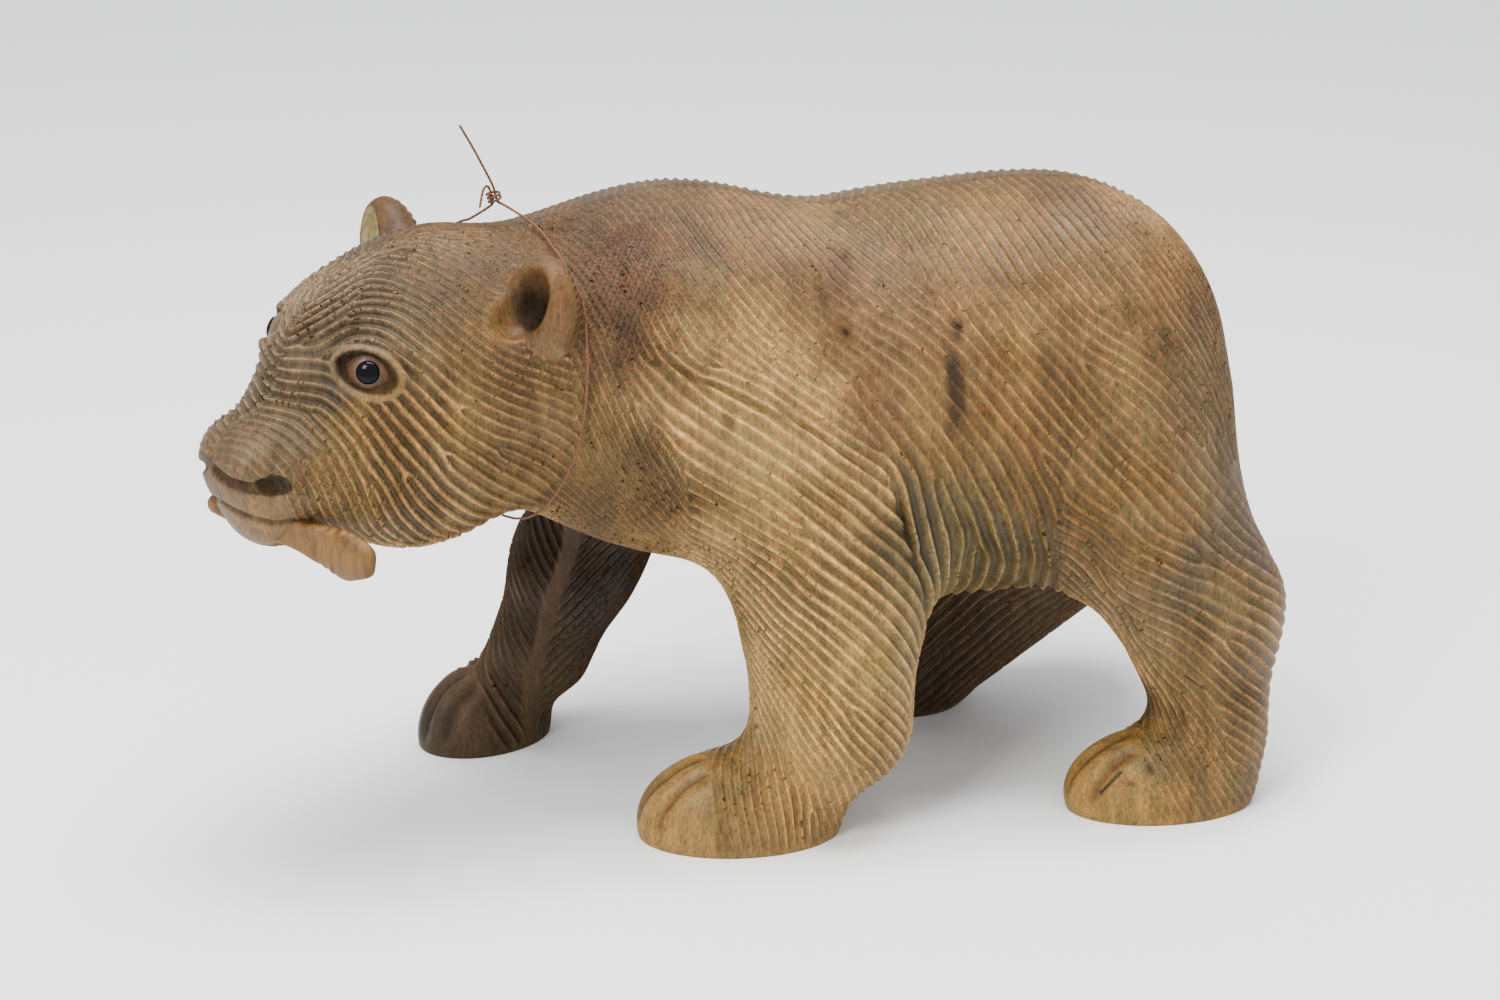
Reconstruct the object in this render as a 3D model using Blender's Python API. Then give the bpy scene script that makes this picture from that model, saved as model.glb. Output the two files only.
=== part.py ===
"""A carved wooden bear with a fish in its jaws: a carved block, two bead eyes, the fish, a neck string and its knot.

Lengths are in millimetres until an object is made, which scales them to metres. The bear faces -X with its
left side towards -Y, and its soles rest on Z = 0. Its head is turned to its left. The shapes are laid out from a
point between the forelegs and moved by MIDDLE at the end. The block, the fish and the head's features are
distance fields: a field is negative inside the wood, and join and cut blend two of them.
"""

import bmesh
import bpy
import numpy as np
from mathutils import Matrix

MM = 0.001
MIDDLE = (-7.7, -1.8, 0.0)

BODY_BOX = ((-180.0, -80.0, -24.0), (162.0, 80.0, 200.0))
BODY_STEP = 1.7
BODY_TRIANGLES = 9000
FISH_BOX = ((-60.0, -50.0, -52.0), (-10.0, 26.0, -18.0))
FISH_STEP = 1.2
FISH_TRIANGLES = 1000
FISH_FIT = 0.5
PINCH_ROUNDS = 6
PINCH_FILL = 0.3

HEAD_AT = (-118.0, -22.0, 146.0)
HEAD_YAW = 24.0
EAR_LEAD = 3.0

EYE_AT = (-17.5, -25.5, 14.0)
EYE_AIM = (-0.62, -0.72, 0.28)
EYE_SLANT = -20.0
BEAD_RADIUS = 3.3
BEAD_FRONT = 1.5
BEAD_BACK = -2.6
BORE_RADIUS = 3.75
BORE_BACK = -3.3

FISH_NOSE = (-45.0, 13.0, -29.5)
FISH_MIDDLE = (-41.0, 0.0, -30.0)
FISH_STALK = (-34.0, -20.0, -33.0)
FISH_FIN = (-29.5, -30.0, -35.5)

CORD_RADIUS = 0.4
CORD_LIFT = 1.1
CORD_STEPS = 3
TAIL_ROUTE = (
    (-87.5, 4.0, 213.0), (-84.0, 4.4, 206.5), (-80.6, 4.6, 199.5), (-78.3, 4.6, 194.5),
    (-77.5, 4.4, 191.6), (-77.0, 4.2, 189.6), (-75.0, 0.8, 188.9),
)
NEAR_ROUTE = (
    (-70.0, -11.0, 187.0), (-66.5, -24.0, 183.0), (-64.5, -38.0, 176.0), (-62.0, -46.0, 163.0),
    (-62.5, -49.0, 147.0), (-65.0, -48.0, 132.0), (-69.5, -43.0, 119.0),
)
THROAT_ROUTE = ((-74.0, -36.0, 108.5), (-79.0, -22.0, 101.5), (-84.5, -4.0, 99.5), (-89.0, 13.0, 103.5))
FAR_ROUTE = (
    (-93.0, 28.0, 117.0), (-95.0, 36.0, 136.0), (-94.5, 36.0, 156.0), (-92.5, 27.0, 173.0),
    (-89.5, 14.0, 183.0), (-85.5, 5.5, 187.5),
)
END_ROUTE = (
    (-79.6, 4.3, 188.1), (-78.3, 4.3, 189.6), (-78.7, 4.45, 191.6), (-79.2, 4.5, 193.4), (-80.1, 4.2, 194.4),
    (-81.2, 3.6, 193.4), (-81.9, 2.8, 191.4), (-82.8, 1.0, 188.9),
)
KNOT_AT = (-78.0, 4.4, 191.1)
KNOT_RADIUS = 1.9
KNOT_WIRE = 0.4
KNOT_TURNS = 2.4
KNOT_PITCH = 1.15


def vec(*values):
    return np.array(values, float)


def turn(yaw=0.0, pitch=0.0, roll=0.0):
    """The rotation whose columns are the turned local axes, from angles in degrees."""
    y, t, r = np.radians([yaw, pitch, roll])
    about_z = np.array([[np.cos(y), -np.sin(y), 0], [np.sin(y), np.cos(y), 0], [0, 0, 1]])
    about_y = np.array([[np.cos(t), 0, np.sin(t)], [0, 1, 0], [-np.sin(t), 0, np.cos(t)]])
    about_x = np.array([[1, 0, 0], [0, np.cos(r), -np.sin(r)], [0, np.sin(r), np.cos(r)]])
    return about_z @ about_y @ about_x


def cone(p, start, end, start_radius, end_radius):
    """The field of a limb with round ends."""
    a = vec(*start)
    along = vec(*end) - a
    t = np.clip((p - a) @ along / (along @ along), 0, 1)
    gap = np.linalg.norm(p - a - t[:, None] * along, axis=1)
    return gap - start_radius - (end_radius - start_radius) * t


def ellipsoid(p, centre, radii, yaw=0.0, pitch=0.0, roll=0.0):
    q = (p - vec(*centre)) @ turn(yaw, pitch, roll)
    r = vec(*radii)
    scaled = np.linalg.norm(q / r, axis=1)
    return scaled * (scaled - 1) / (np.linalg.norm(q / r**2, axis=1) + 1e-9)


def join(a, b, blend):
    h = np.maximum(blend - np.abs(a - b), 0) / blend
    return np.minimum(a, b) - h * h * blend / 4


def cut(a, b, blend):
    return -join(-a, b, blend)


def groove(p, points, radius):
    """A round-bottomed cut through points."""
    runs = [cone(p, a, b, radius, radius) for a, b in zip(points[:-1], points[1:])]
    return np.minimum.reduce(runs)


def trunk(p):
    d = ellipsoid(p, (-26, 0, 135), (50, 51, 52.2))
    d = join(d, ellipsoid(p, (43, 0, 122.8), (72, 56, 63.7)), 26)
    d = join(d, ellipsoid(p, (92, 0, 125), (53, 55, 61)), 26)
    return join(d, cone(p, (-30, 0, 140), (-92, -11, 147), 46, 38.5), 24)


def left_foreleg(p):
    d = cone(p, (0, -32, 118), (12.5, -38, 75), 29, 26)
    d = join(d, cone(p, (12.5, -38, 75), (12.5, -39, 36), 26, 24.5), 12)
    return join(d, ellipsoid(p, (-15.5, -36.5, 4.5), (31, 19.5, 22), yaw=-8), 14)


def right_foreleg(p):
    d = cone(p, (-27, 32, 112), (-49, 41, 62), 25, 18)
    d = join(d, cone(p, (-49, 41, 62), (-60, 47, 30), 18, 16.5), 12)
    return join(d, ellipsoid(p, (-78.5, 49, 4), (22.5, 16.5, 21), yaw=18), 12)


def left_hind_leg(p):
    d = cone(p, (101.5, -32, 105), (127, -43, 62), 37, 23)
    d = join(d, cone(p, (127, -43, 62), (131.5, -47, 24), 23, 17), 12)
    return join(d, ellipsoid(p, (114.5, -48.5, 5), (30, 17.5, 20), yaw=-5), 12)


def right_hind_leg(p):
    d = cone(p, (112, 27, 80), (66, 42, 21), 36, 23)
    return join(d, ellipsoid(p, (44, 47, 4), (32, 18, 20), yaw=8), 14)


def in_head(p):
    """Points in the head's own axes: x backwards, y to its right, z up."""
    return (p - vec(*HEAD_AT)) @ turn(HEAD_YAW)


def folded(q):
    """Points of the head with its right half folded onto its left."""
    return np.stack([q[:, 0], -np.abs(q[:, 1]), q[:, 2]], axis=1)


def eye_axes():
    """The eye's axes in the head: x out of the socket, y backwards, z up."""
    out = vec(*EYE_AIM) / np.linalg.norm(EYE_AIM)
    up = vec(0, 0, 1) - out[2] * out
    up /= np.linalg.norm(up)
    return np.stack([out, np.cross(up, out), up], axis=1)


def almond(f, half_width, half_height, depth, out):
    """The lens where two rounds cross, pointed at both corners of the eye."""
    whole = half_width**2 / half_height
    radius, offset = (whole + half_height) / 2, (whole - half_height) / 2
    g = f @ turn(roll=EYE_SLANT)
    lower = ellipsoid(g, (out, 0, -offset), (depth, radius, radius))
    upper = ellipsoid(g, (out, 0, offset), (depth, radius, radius))
    return np.maximum(lower, upper)


def with_eyes(d, h):
    f = (h - vec(*EYE_AT)) @ eye_axes()
    d = join(d, almond(f, 12.5, 8.6, 6.0, -2.5), 3)
    d = cut(d, almond(f, 9.2, 5.5, 6.0, 1.5), 0.8)
    return join(d, ellipsoid(f, (-7.6, -0.2, 0), (8.2, 8.2, 8.2)), 0.6)


def with_nose_and_lips(d, h):
    d = join(d, ellipsoid(h, (-43.5, -3.0, -9.5), (9.5, 11, 6), pitch=-30), 5)
    nose_line = ((-55.5, 0, -11), (-54.5, -3, -13), (-52.7, -8.5, -15.4), (-48.6, -13.9, -16.6), (-43.4, -18, -15.8))
    d = cut(d, groove(h, nose_line, 1.5), 1.2)
    d = cut(d, ellipsoid(h, (-44, -17.4, -15.9), (4.2, 3.2, 2.3), yaw=-40), 1)
    lip_line = ((-52.5, 0, -23), (-51, -4.4, -24.2), (-47.4, -10.3, -26.4), (-42.2, -13.9, -28.2), (-37.6, -16.4, -28))
    return cut(d, groove(h, lip_line, 0.9), 1)


def head(p):
    q = in_head(p)
    h = folded(q)
    d = ellipsoid(q, (9, 0, 1), (38, 35, 35), pitch=-12)
    d = join(d, ellipsoid(q, (-8, 0, 12), (22, 25, 18.5)), 10)
    d = join(d, cone(q, (-12, 0, -10), (-38.5, 0, -15.5), 27, 15), 10)
    d = join(d, ellipsoid(h, (-24, -8, -15), (24, 15, 15), pitch=-10), 8)
    d = join(d, ellipsoid(h, (-30, -4, -5), (20, 9, 8), pitch=-28), 6)
    d = join(d, ellipsoid(q, (-34, 0, -29.5), (13, 12.5, 10.5)), 8)
    d = join(d, ellipsoid(h, (2.5, -15, -15.5), (31.5, 25, 28.3)), 12)
    return with_nose_and_lips(with_eyes(d, h), h)


def with_ears(d, p):
    for side, lead in ((1, 0), (-1, EAR_LEAD)):
        h = in_head(p) * vec(1, side, 1) + vec(lead, 0, 0)
        d = join(d, ellipsoid(h, (33, -36.5, 25), (9, 12, 16.5), yaw=4, roll=22), 6)
        d = cut(d, ellipsoid(h, (27.5, -39, 29.5), (8, 5.8, 9), yaw=6, roll=22), 2)
    return d


def bear(p):
    """The carved block before its soles are flattened and its bores are cut."""
    d = trunk(p)
    for leg in (left_foreleg, right_foreleg, left_hind_leg, right_hind_leg):
        d = join(d, leg(p), 17)
    return with_ears(join(d, head(p), 20), p)


def fish(q):
    """The fish in the head's axes, its tail on the bear's left."""
    d = cone(q, FISH_NOSE, FISH_MIDDLE, 3.0, 4.6)
    d = join(d, cone(q, FISH_MIDDLE, FISH_STALK, 4.6, 4.4), 3)
    return join(d, ellipsoid(q, FISH_FIN, (12, 3, 7.4), yaw=-70, pitch=10), 5)


def grid_values(field, axes):
    """The field at every point of a grid, one slice of constant x at a time."""
    y, z = np.meshgrid(axes[1], axes[2], indexing="ij")
    slices = []
    for x in axes[0]:
        points = np.stack([np.full(y.size, x), y.ravel(), z.ravel()], axis=1)
        slices.append(field(points).reshape(y.shape))
    return np.array(slices)


def fill_pinches(values):
    """Fills the field where the inside would meet itself only along an edge or at a corner."""
    for _ in range(PINCH_ROUNDS):
        for u, v in ((0, 1), (0, 2), (1, 2)):
            grid = np.moveaxis(values, (u, v), (0, 1))
            a, b, c, d = grid[:-1, :-1], grid[1:, 1:], grid[1:, :-1], grid[:-1, 1:]
            pinched = ((a < 0) == (b < 0)) & ((c < 0) == (d < 0)) & ((a < 0) != (c < 0))
            for corner in (a, b, c, d):
                corner[pinched] = np.minimum(corner[pinched], -PINCH_FILL)
        n = np.array(values.shape) - 1
        corners = {c: values[tuple(slice(i, i + m) for i, m in zip(c, n))] for c in np.ndindex(2, 2, 2)}
        for a in ((0, 0, 0), (0, 0, 1), (0, 1, 0), (0, 1, 1)):
            ends = (a, tuple(1 - i for i in a))
            others = [corners[c] for c in corners if c not in ends]
            inner = sum((corners[c] < 0).astype(int) for c in ends)
            outer = sum((c < 0).astype(int) for c in others)
            pinched = ((inner == 2) & (outer == 0)) | ((inner == 0) & (outer == 6))
            for corner in corners.values():
                corner[pinched] = np.minimum(corner[pinched], -PINCH_FILL)


def cell_points(values, cells):
    """The mean crossing of each cell's edges, in cells from its low corner."""
    total = np.zeros((len(cells), 3))
    count = np.zeros(len(cells))
    for corner in np.ndindex(2, 2, 2):
        for axis in range(3):
            if corner[axis]:
                continue
            other = list(corner)
            other[axis] = 1
            a = values[tuple((cells + corner).T)]
            b = values[tuple((cells + other).T)]
            crossed = (a < 0) != (b < 0)
            at = np.repeat(np.array([corner], float), len(cells), axis=0)
            at[:, axis] += np.where(crossed, a / np.where(crossed, a - b, 1), 0)
            total += at * crossed[:, None]
            count += crossed
    return total / count[:, None]


def cell_quads(inside, index):
    """A quad around every grid edge that crosses the surface, facing out."""
    quads = []
    for axis, u, v in ((0, 1, 2), (1, 2, 0), (2, 0, 1)):
        low = np.take(inside, range(inside.shape[axis] - 1), axis)
        high = np.take(inside, range(1, inside.shape[axis]), axis)
        edges = np.argwhere(low != high)
        around = []
        for du, dv in ((1, 1), (0, 1), (0, 0), (1, 0)):
            cell = edges.copy()
            cell[:, u] -= du
            cell[:, v] -= dv
            around.append(index[tuple(cell.T)])
        ring = np.stack(around, axis=1)
        flipped = ~low[tuple(edges.T)]
        ring[flipped] = ring[flipped][:, ::-1]
        quads.append(ring)
    return np.concatenate(quads)


def surface(field, box, step):
    """Vertices and quads of the field's zero surface, one vertex in each cell it passes through."""
    low = vec(*box[0])
    counts = np.ceil((vec(*box[1]) - low) / step).astype(int) + 1
    values = grid_values(field, [low[i] + step * np.arange(counts[i]) for i in range(3)])
    fill_pinches(values)
    inside = values < 0
    filled = sum(
        inside[i : counts[0] - 1 + i, j : counts[1] - 1 + j, k : counts[2] - 1 + k].astype(int)
        for i, j, k in np.ndindex(2, 2, 2)
    )
    crossed = (filled > 0) & (filled < 8)
    cells = np.argwhere(crossed)
    index = np.full(crossed.shape, -1)
    index[crossed] = np.arange(len(cells))
    return low + step * (cells + cell_points(values, cells)), cell_quads(inside, index)


def new_object(name, vertices, faces, smooth=True):
    mesh = bpy.data.meshes.new(name)
    mesh.from_pydata((np.asarray(vertices) * MM).tolist(), [], [list(map(int, f)) for f in faces])
    mesh.polygons.foreach_set("use_smooth", [smooth] * len(mesh.polygons))
    ob = bpy.data.objects.new(name, mesh)
    bpy.context.scene.collection.objects.link(ob)
    return ob


def applied(ob, kind, **settings):
    """Adds one modifier and applies it."""
    modifier = ob.modifiers.new(kind.title(), kind)
    for key, value in settings.items():
        setattr(modifier, key, value)
    depsgraph = bpy.context.evaluated_depsgraph_get()
    mesh = bpy.data.meshes.new_from_object(ob.evaluated_get(depsgraph))
    ob.modifiers.clear()
    ob.data = mesh
    mesh.name = ob.name
    return ob


def thinned(ob, triangles):
    faces = sum(len(p.vertices) - 2 for p in ob.data.polygons)
    return applied(ob, "DECIMATE", ratio=triangles / faces, use_collapse_triangulate=True)


def drilled(ob, cutter):
    """Cuts one solid out of another and removes the cutter."""
    applied(ob, "BOOLEAN", operation="DIFFERENCE", solver="EXACT", object=cutter)
    bpy.data.objects.remove(cutter)


def flatten_soles(ob):
    """Cuts the feet off level at Z = 0."""
    low, high = (-200, -100, -40), (200, 100, 0)
    corners = [[(low, high)[bit][axis] for axis, bit in enumerate(bits)] for bits in np.ndindex(2, 2, 2)]
    faces = [(0, 1, 3, 2), (4, 6, 7, 5), (0, 4, 5, 1), (2, 3, 7, 6), (0, 2, 6, 4), (1, 5, 7, 3)]
    drilled(ob, new_object("Ground", corners, faces))


def turned(name, profile, axes, origin, sides=28):
    """A solid of revolution about axes' first column, from (along, radius) pairs that start and end on it."""
    rings = [origin + axes[:, 0] * profile[0][0]]
    angles = np.arange(sides) * 2 * np.pi / sides
    for along, radius in profile[1:-1]:
        for a in angles:
            rings.append(origin + axes @ vec(along, radius * np.cos(a), radius * np.sin(a)))
    rings.append(origin + axes[:, 0] * profile[-1][0])
    faces = []
    last = len(rings) - 1
    for i in range(sides):
        j = (i + 1) % sides
        faces.append((0, 1 + i, 1 + j))
        for ring in range(len(profile) - 3):
            a, b = 1 + ring * sides, 1 + (ring + 1) * sides
            faces.append((a + i, b + i, b + j, a + j))
        b = 1 + (len(profile) - 3) * sides
        faces.append((b + j, b + i, last))
    ob = new_object(name, rings, faces)
    bm = bmesh.new()
    bm.from_mesh(ob.data)
    bmesh.ops.recalc_face_normals(bm, faces=bm.faces)
    bm.to_mesh(ob.data)
    bm.free()
    return ob


def eye_frame(side):
    """The eye's axes and centre in the row's frame, for the left (1) or right (-1) eye."""
    mirror = np.diag([1.0, side, 1.0])
    out_of_head = turn(HEAD_YAW)
    axes = out_of_head @ mirror @ eye_axes()
    axes[:, 1] *= side
    return axes, vec(*HEAD_AT) + out_of_head @ mirror @ vec(*EYE_AT)


def bead_profile():
    """A domed bead, flat at the back with a rounded edge."""
    r = BEAD_RADIUS
    dome = [(BEAD_FRONT * np.cos(t), r * np.sin(t)) for t in np.radians([25, 45, 62, 78])]
    return [(BEAD_FRONT, 0), *dome, (0, r), (BEAD_BACK + 0.4, r), (BEAD_BACK, r - 0.4), (BEAD_BACK, 0)]


def bore_profile():
    return [(8, 0), (8, BORE_RADIUS), (BORE_BACK, BORE_RADIUS), (BORE_BACK, 0)]


def material(name, colour, roughness, coat=0.0):
    made = bpy.data.materials.new(name)
    made.use_nodes = True
    shader = made.node_tree.nodes["Principled BSDF"]
    shader.inputs["Base Color"].default_value = (*colour, 1)
    shader.inputs["Roughness"].default_value = roughness
    shader.inputs["Metallic"].default_value = 0.0
    shader.inputs["Coat Weight"].default_value = coat
    made.diffuse_color = (*colour, 1)
    return made


def smooth_curve(points, steps):
    """Points on the Catmull-Rom curve through the given ones, steps to a span."""
    p = np.array(points, float)
    p = np.concatenate([[2 * p[0] - p[1]], p, [2 * p[-1] - p[-2]]])
    out = []
    for a, b, c, d in zip(p[:-3], p[1:-2], p[2:-1], p[3:]):
        for t in np.arange(steps) / steps:
            out.append(
                b + 0.5 * t * (c - a + t * (2 * a - 5 * b + 4 * c - d + t * (3 * (b - c) + d - a)))
            )
    return np.array([*out, p[-2]])


def away_from_wood(points):
    """The direction out of the block at each point."""
    nudge = 0.05 * np.eye(3)
    slope = np.stack([bear(points + n) - bear(points - n) for n in nudge], axis=1)
    return slope / np.linalg.norm(slope, axis=1, keepdims=True)


def resting(points):
    """Points moved to lie against the neck."""
    p = np.array(points, float)
    for _ in range(3):
        p += away_from_wood(p) * (CORD_LIFT - bear(p))[:, None]
    return p


def clear_of_wood(points):
    """Points pushed out to the cord's clearance where they come nearer than that."""
    return points + away_from_wood(points) * np.maximum(CORD_LIFT - bear(points), 0)[:, None]


def cord_line():
    route = [TAIL_ROUTE, resting(NEAR_ROUTE), THROAT_ROUTE, resting(FAR_ROUTE), END_ROUTE]
    return clear_of_wood(smooth_curve(np.concatenate(route), CORD_STEPS))


def knot_line():
    """Two and a half close turns around both strands, along the tail."""
    axis = vec(-0.25, 0.05, 1.0)
    axis /= np.linalg.norm(axis)
    across = np.cross(axis, vec(0, 1, 0))
    across /= np.linalg.norm(across)
    side = np.cross(axis, across)
    line = []
    for t in np.linspace(-0.5, 0.5, 34) * KNOT_TURNS:
        angle = 2 * np.pi * t
        ring = across * np.cos(angle) + side * np.sin(angle)
        line.append(vec(*KNOT_AT) + KNOT_RADIUS * ring + axis * KNOT_PITCH * t)
    return np.array(line)


def tube(name, line, radius):
    """A round cord along a line, closed at both ends."""
    curve = bpy.data.curves.new(name, "CURVE")
    curve.dimensions = "3D"
    curve.bevel_depth = radius * MM
    curve.bevel_resolution = 2
    curve.use_fill_caps = True
    spline = curve.splines.new("POLY")
    spline.points.add(len(line) - 1)
    for point, at in zip(spline.points, line * MM):
        point.co = (*at, 1)
    spline.use_smooth = True
    ob = bpy.data.objects.new(name, curve)
    bpy.context.scene.collection.objects.link(ob)
    return ob


def to_row_frame(ob):
    """Moves an object made in the head's axes into the row's frame."""
    turn_matrix = Matrix(turn(HEAD_YAW).tolist()).to_4x4()
    ob.data.transform(Matrix.Translation([c * MM for c in HEAD_AT]) @ turn_matrix)
    return ob


def make_body():
    ob = new_object("Carved_Body", *surface(bear, BODY_BOX, BODY_STEP))
    thinned(ob, BODY_TRIANGLES)
    flatten_soles(ob)
    for side in (1, -1):
        axes, origin = eye_frame(side)
        drilled(ob, turned("Bore", bore_profile(), axes, origin))
    slot = new_object("Slot", *surface(lambda q: fish(q) - FISH_FIT, FISH_BOX, 1.5))
    thinned(slot, 500)
    drilled(ob, to_row_frame(slot))
    ob.data.materials.append(material("Oiled Carved Wood", (0.36, 0.21, 0.10), 0.45))


def make_fish():
    ob = to_row_frame(new_object("Fish", *surface(fish, FISH_BOX, FISH_STEP)))
    thinned(ob, FISH_TRIANGLES)
    ob.data.materials.append(material("Pale Fish Wood", (0.52, 0.31, 0.14), 0.5))


def make_eyes():
    for name, side in (("Eye_Left", 1), ("Eye_Right", -1)):
        axes, origin = eye_frame(side)
        ob = turned(name, bead_profile(), axes, origin)
        ob.data.materials.append(material(name + " Black Glass", (0.006, 0.008, 0.012), 0.08, 1.0))


def make_string():
    cord = tube("Neck_String", cord_line(), CORD_RADIUS)
    cord.data.materials.append(material("Brown Twine", (0.20, 0.09, 0.04), 0.8))
    knot = tube("String_Knot", knot_line(), KNOT_WIRE)
    knot.data.materials.append(material("Brown Knot Twine", (0.18, 0.08, 0.035), 0.8))


def put_middle_at_origin():
    """Moves every piece so that the middle of the bear's footprint is the origin."""
    for ob in bpy.data.objects:
        ob.data.transform(Matrix.Translation([-c * MM for c in MIDDLE]))


def main():
    for ob in list(bpy.data.objects):
        bpy.data.objects.remove(ob)
    make_body()
    make_fish()
    make_eyes()
    make_string()
    put_middle_at_origin()


main()
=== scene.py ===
"""Looks of a carved wooden bear: the grooved block, its bead eyes, the fish in its jaws and its neck twine.

Lengths are in millimetres in the part's own layout until a mesh is made, which moves them by MIDDLE and
scales them to metres. The studio and the shaders' noise are in metres. A field is negative inside the
wood. The grooves follow traced strokes: each stroke is a run of side-view points that is lifted onto
the wood, the strokes give every place a direction and a width, and a smooth stripe pattern is fitted.
"""

import bpy
import numpy as np
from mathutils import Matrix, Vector


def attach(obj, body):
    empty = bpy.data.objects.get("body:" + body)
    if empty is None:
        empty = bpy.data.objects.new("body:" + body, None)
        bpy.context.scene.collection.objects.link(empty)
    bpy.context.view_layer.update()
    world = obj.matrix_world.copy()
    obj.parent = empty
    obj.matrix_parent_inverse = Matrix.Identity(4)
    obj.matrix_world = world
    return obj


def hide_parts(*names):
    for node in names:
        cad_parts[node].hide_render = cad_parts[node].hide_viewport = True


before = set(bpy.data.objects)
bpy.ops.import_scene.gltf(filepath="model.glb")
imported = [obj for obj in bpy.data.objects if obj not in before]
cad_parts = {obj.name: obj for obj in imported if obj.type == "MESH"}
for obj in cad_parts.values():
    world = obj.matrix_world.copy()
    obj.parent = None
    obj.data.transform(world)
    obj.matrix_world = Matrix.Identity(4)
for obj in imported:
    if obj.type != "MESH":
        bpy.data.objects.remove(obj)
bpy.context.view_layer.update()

MM = 0.001
MIDDLE = np.array([-7.7, -1.8, 0.0])

CAMERA_YAW = -14.0
CAMERA_TILT = 21.0
CAMERA_DISTANCE = 1000.0
CAMERA_AIM = (-3.0, 0.0, 92.0)
CAMERA_LENS = 79.2

FLOOR_HALF = 4.0
SKY_COLOUR = (0.95, 0.97, 1.0, 1)
SKY_STRENGTH = 1.15
LAMP_AIM = (0, 0, 0.1)
LAMPS = (
    ("Top", (0.0, -0.1, 1.3), (0.8, 0.6), 30.0),
    ("Key", (-0.9, -0.8, 1.1), (0.5, 0.5), 20.0),
)

BODY_BOX = ((-180.0, -80.0, -24.0), (162.0, 80.0, 200.0))
BODY_STEP = 1.4
PLAN_STEP = 2.4
FISH_BOX = ((-60.0, -50.0, -52.0), (-10.0, 26.0, -18.0))
FISH_STEP = 1.0
PINCH_ROUNDS = 6
PINCH_FILL = 0.3

HEAD_AT = (-118.0, -22.0, 146.0)
HEAD_YAW = 24.0
EAR_LEAD = 3.0

EYE_AT = (-17.5, -25.5, 14.0)
EYE_AIM = (-0.62, -0.72, 0.28)
EYE_SLANT = -20.0
EYEBALL_BACK = -8.9
FAR_BROW_HOLLOW = ((-21.5, 23.5, 19.0), (-28.7, 11.0, 22.5))
EYEBALL_RADIUS = 9.5
BEAD_RADIUS = 3.3
BEAD_FRONT = 1.5
BEAD_BACK = -2.6
BEAD_BEVEL = 0.4
LID_HALF_WIDTH = 11.8
LID_HALF_HEIGHT = 8.2
LID_REACH = 12

FISH_NOSE = (-45.0, 13.0, -29.5)
FISH_MIDDLE = (-41.0, 0.0, -30.0)
FISH_STALK = (-34.0, -20.0, -33.0)
FISH_FIN = (-29.5, -30.0, -35.5)

NOSE_LINE = (
    (-55.5, 0, -11), (-54.5, -3, -13), (-52.7, -8.5, -15.4), (-48.6, -13.9, -16.6), (-43.4, -18, -15.8),
)
LIP_LINE = (
    (-52.5, 0, -23), (-51, -4.4, -24.2), (-47.4, -10.3, -26.4), (-42.2, -13.9, -28.2), (-37.6, -16.4, -28),
)
SLOT_RADIUS = 1.8
LIP_RADIUS = 1.0

HEAD, TRUNK, LEFT_FORE, RIGHT_FORE, RIGHT_FORE_BACK, LEFT_HIND, RIGHT_HIND, EAR = range(8)
HIND = (LEFT_HIND, RIGHT_HIND)
FLANK = (TRUNK, *HIND)

# Each leg's joints from the top down, with its radius there.
LEG_JOINTS = {
    LEFT_FORE: (((0, -32, 118), 29), ((12.5, -38, 75), 26), ((12.5, -39, 36), 24.5)),
    RIGHT_FORE: (((-27, 32, 112), 25), ((-49, 41, 62), 18), ((-60, 47, 30), 16.5)),
    LEFT_HIND: (((101.5, -32, 105), 37), ((127, -43, 62), 23), ((131.5, -47, 24), 17)),
    RIGHT_HIND: (((112, 27, 80), 36), ((66, 42, 21), 23)),
}
KNEE_BLEND = 12

# Each foot's middle, half sizes and yaw, how softly it joins its leg, and where its toes' cuts end.
FEET = {
    LEFT_FORE: ((-15.5, -36.5, 4.5), (31, 19.5, 22), -8, 14, -7),
    RIGHT_FORE: ((-78.5, 49, 4), (22.5, 16.5, 21), 18, 12, -3),
    LEFT_HIND: ((114.5, -48.5, 5), (30, 17.5, 20), -5, 12, -7),
    RIGHT_HIND: ((44, 47, 4), (32, 18, 20), 8, 14, -5),
}
PAW_REACH = 45
PAW_HALF_WIDTH = 24
TOE_CUTS = (-9.5, -1, 8)
TOE_CUT_WIDTH = 3.2

CORD_RADIUS = 0.4
CORD_LIFT = 1.1
CORD_STEPS = 3
TAIL_ROUTE = (
    (-87.5, 4.0, 213.0), (-84.0, 4.4, 206.5), (-80.6, 4.6, 199.5), (-78.3, 4.6, 194.5),
    (-77.5, 4.4, 191.6), (-77.0, 4.2, 189.6), (-75.0, 0.8, 188.9),
)
NEAR_ROUTE = (
    (-70.0, -11.0, 187.0), (-66.5, -24.0, 183.0), (-64.5, -38.0, 176.0), (-62.0, -46.0, 163.0),
    (-62.5, -49.0, 147.0), (-65.0, -48.0, 132.0), (-69.5, -43.0, 119.0),
)
THROAT_ROUTE = ((-74.0, -36.0, 108.5), (-79.0, -22.0, 101.5), (-84.5, -4.0, 99.5), (-89.0, 13.0, 103.5))
FAR_ROUTE = (
    (-93.0, 28.0, 117.0), (-95.0, 36.0, 136.0), (-94.5, 36.0, 156.0), (-92.5, 27.0, 173.0),
    (-89.5, 14.0, 183.0), (-85.5, 5.5, 187.5),
)
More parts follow.
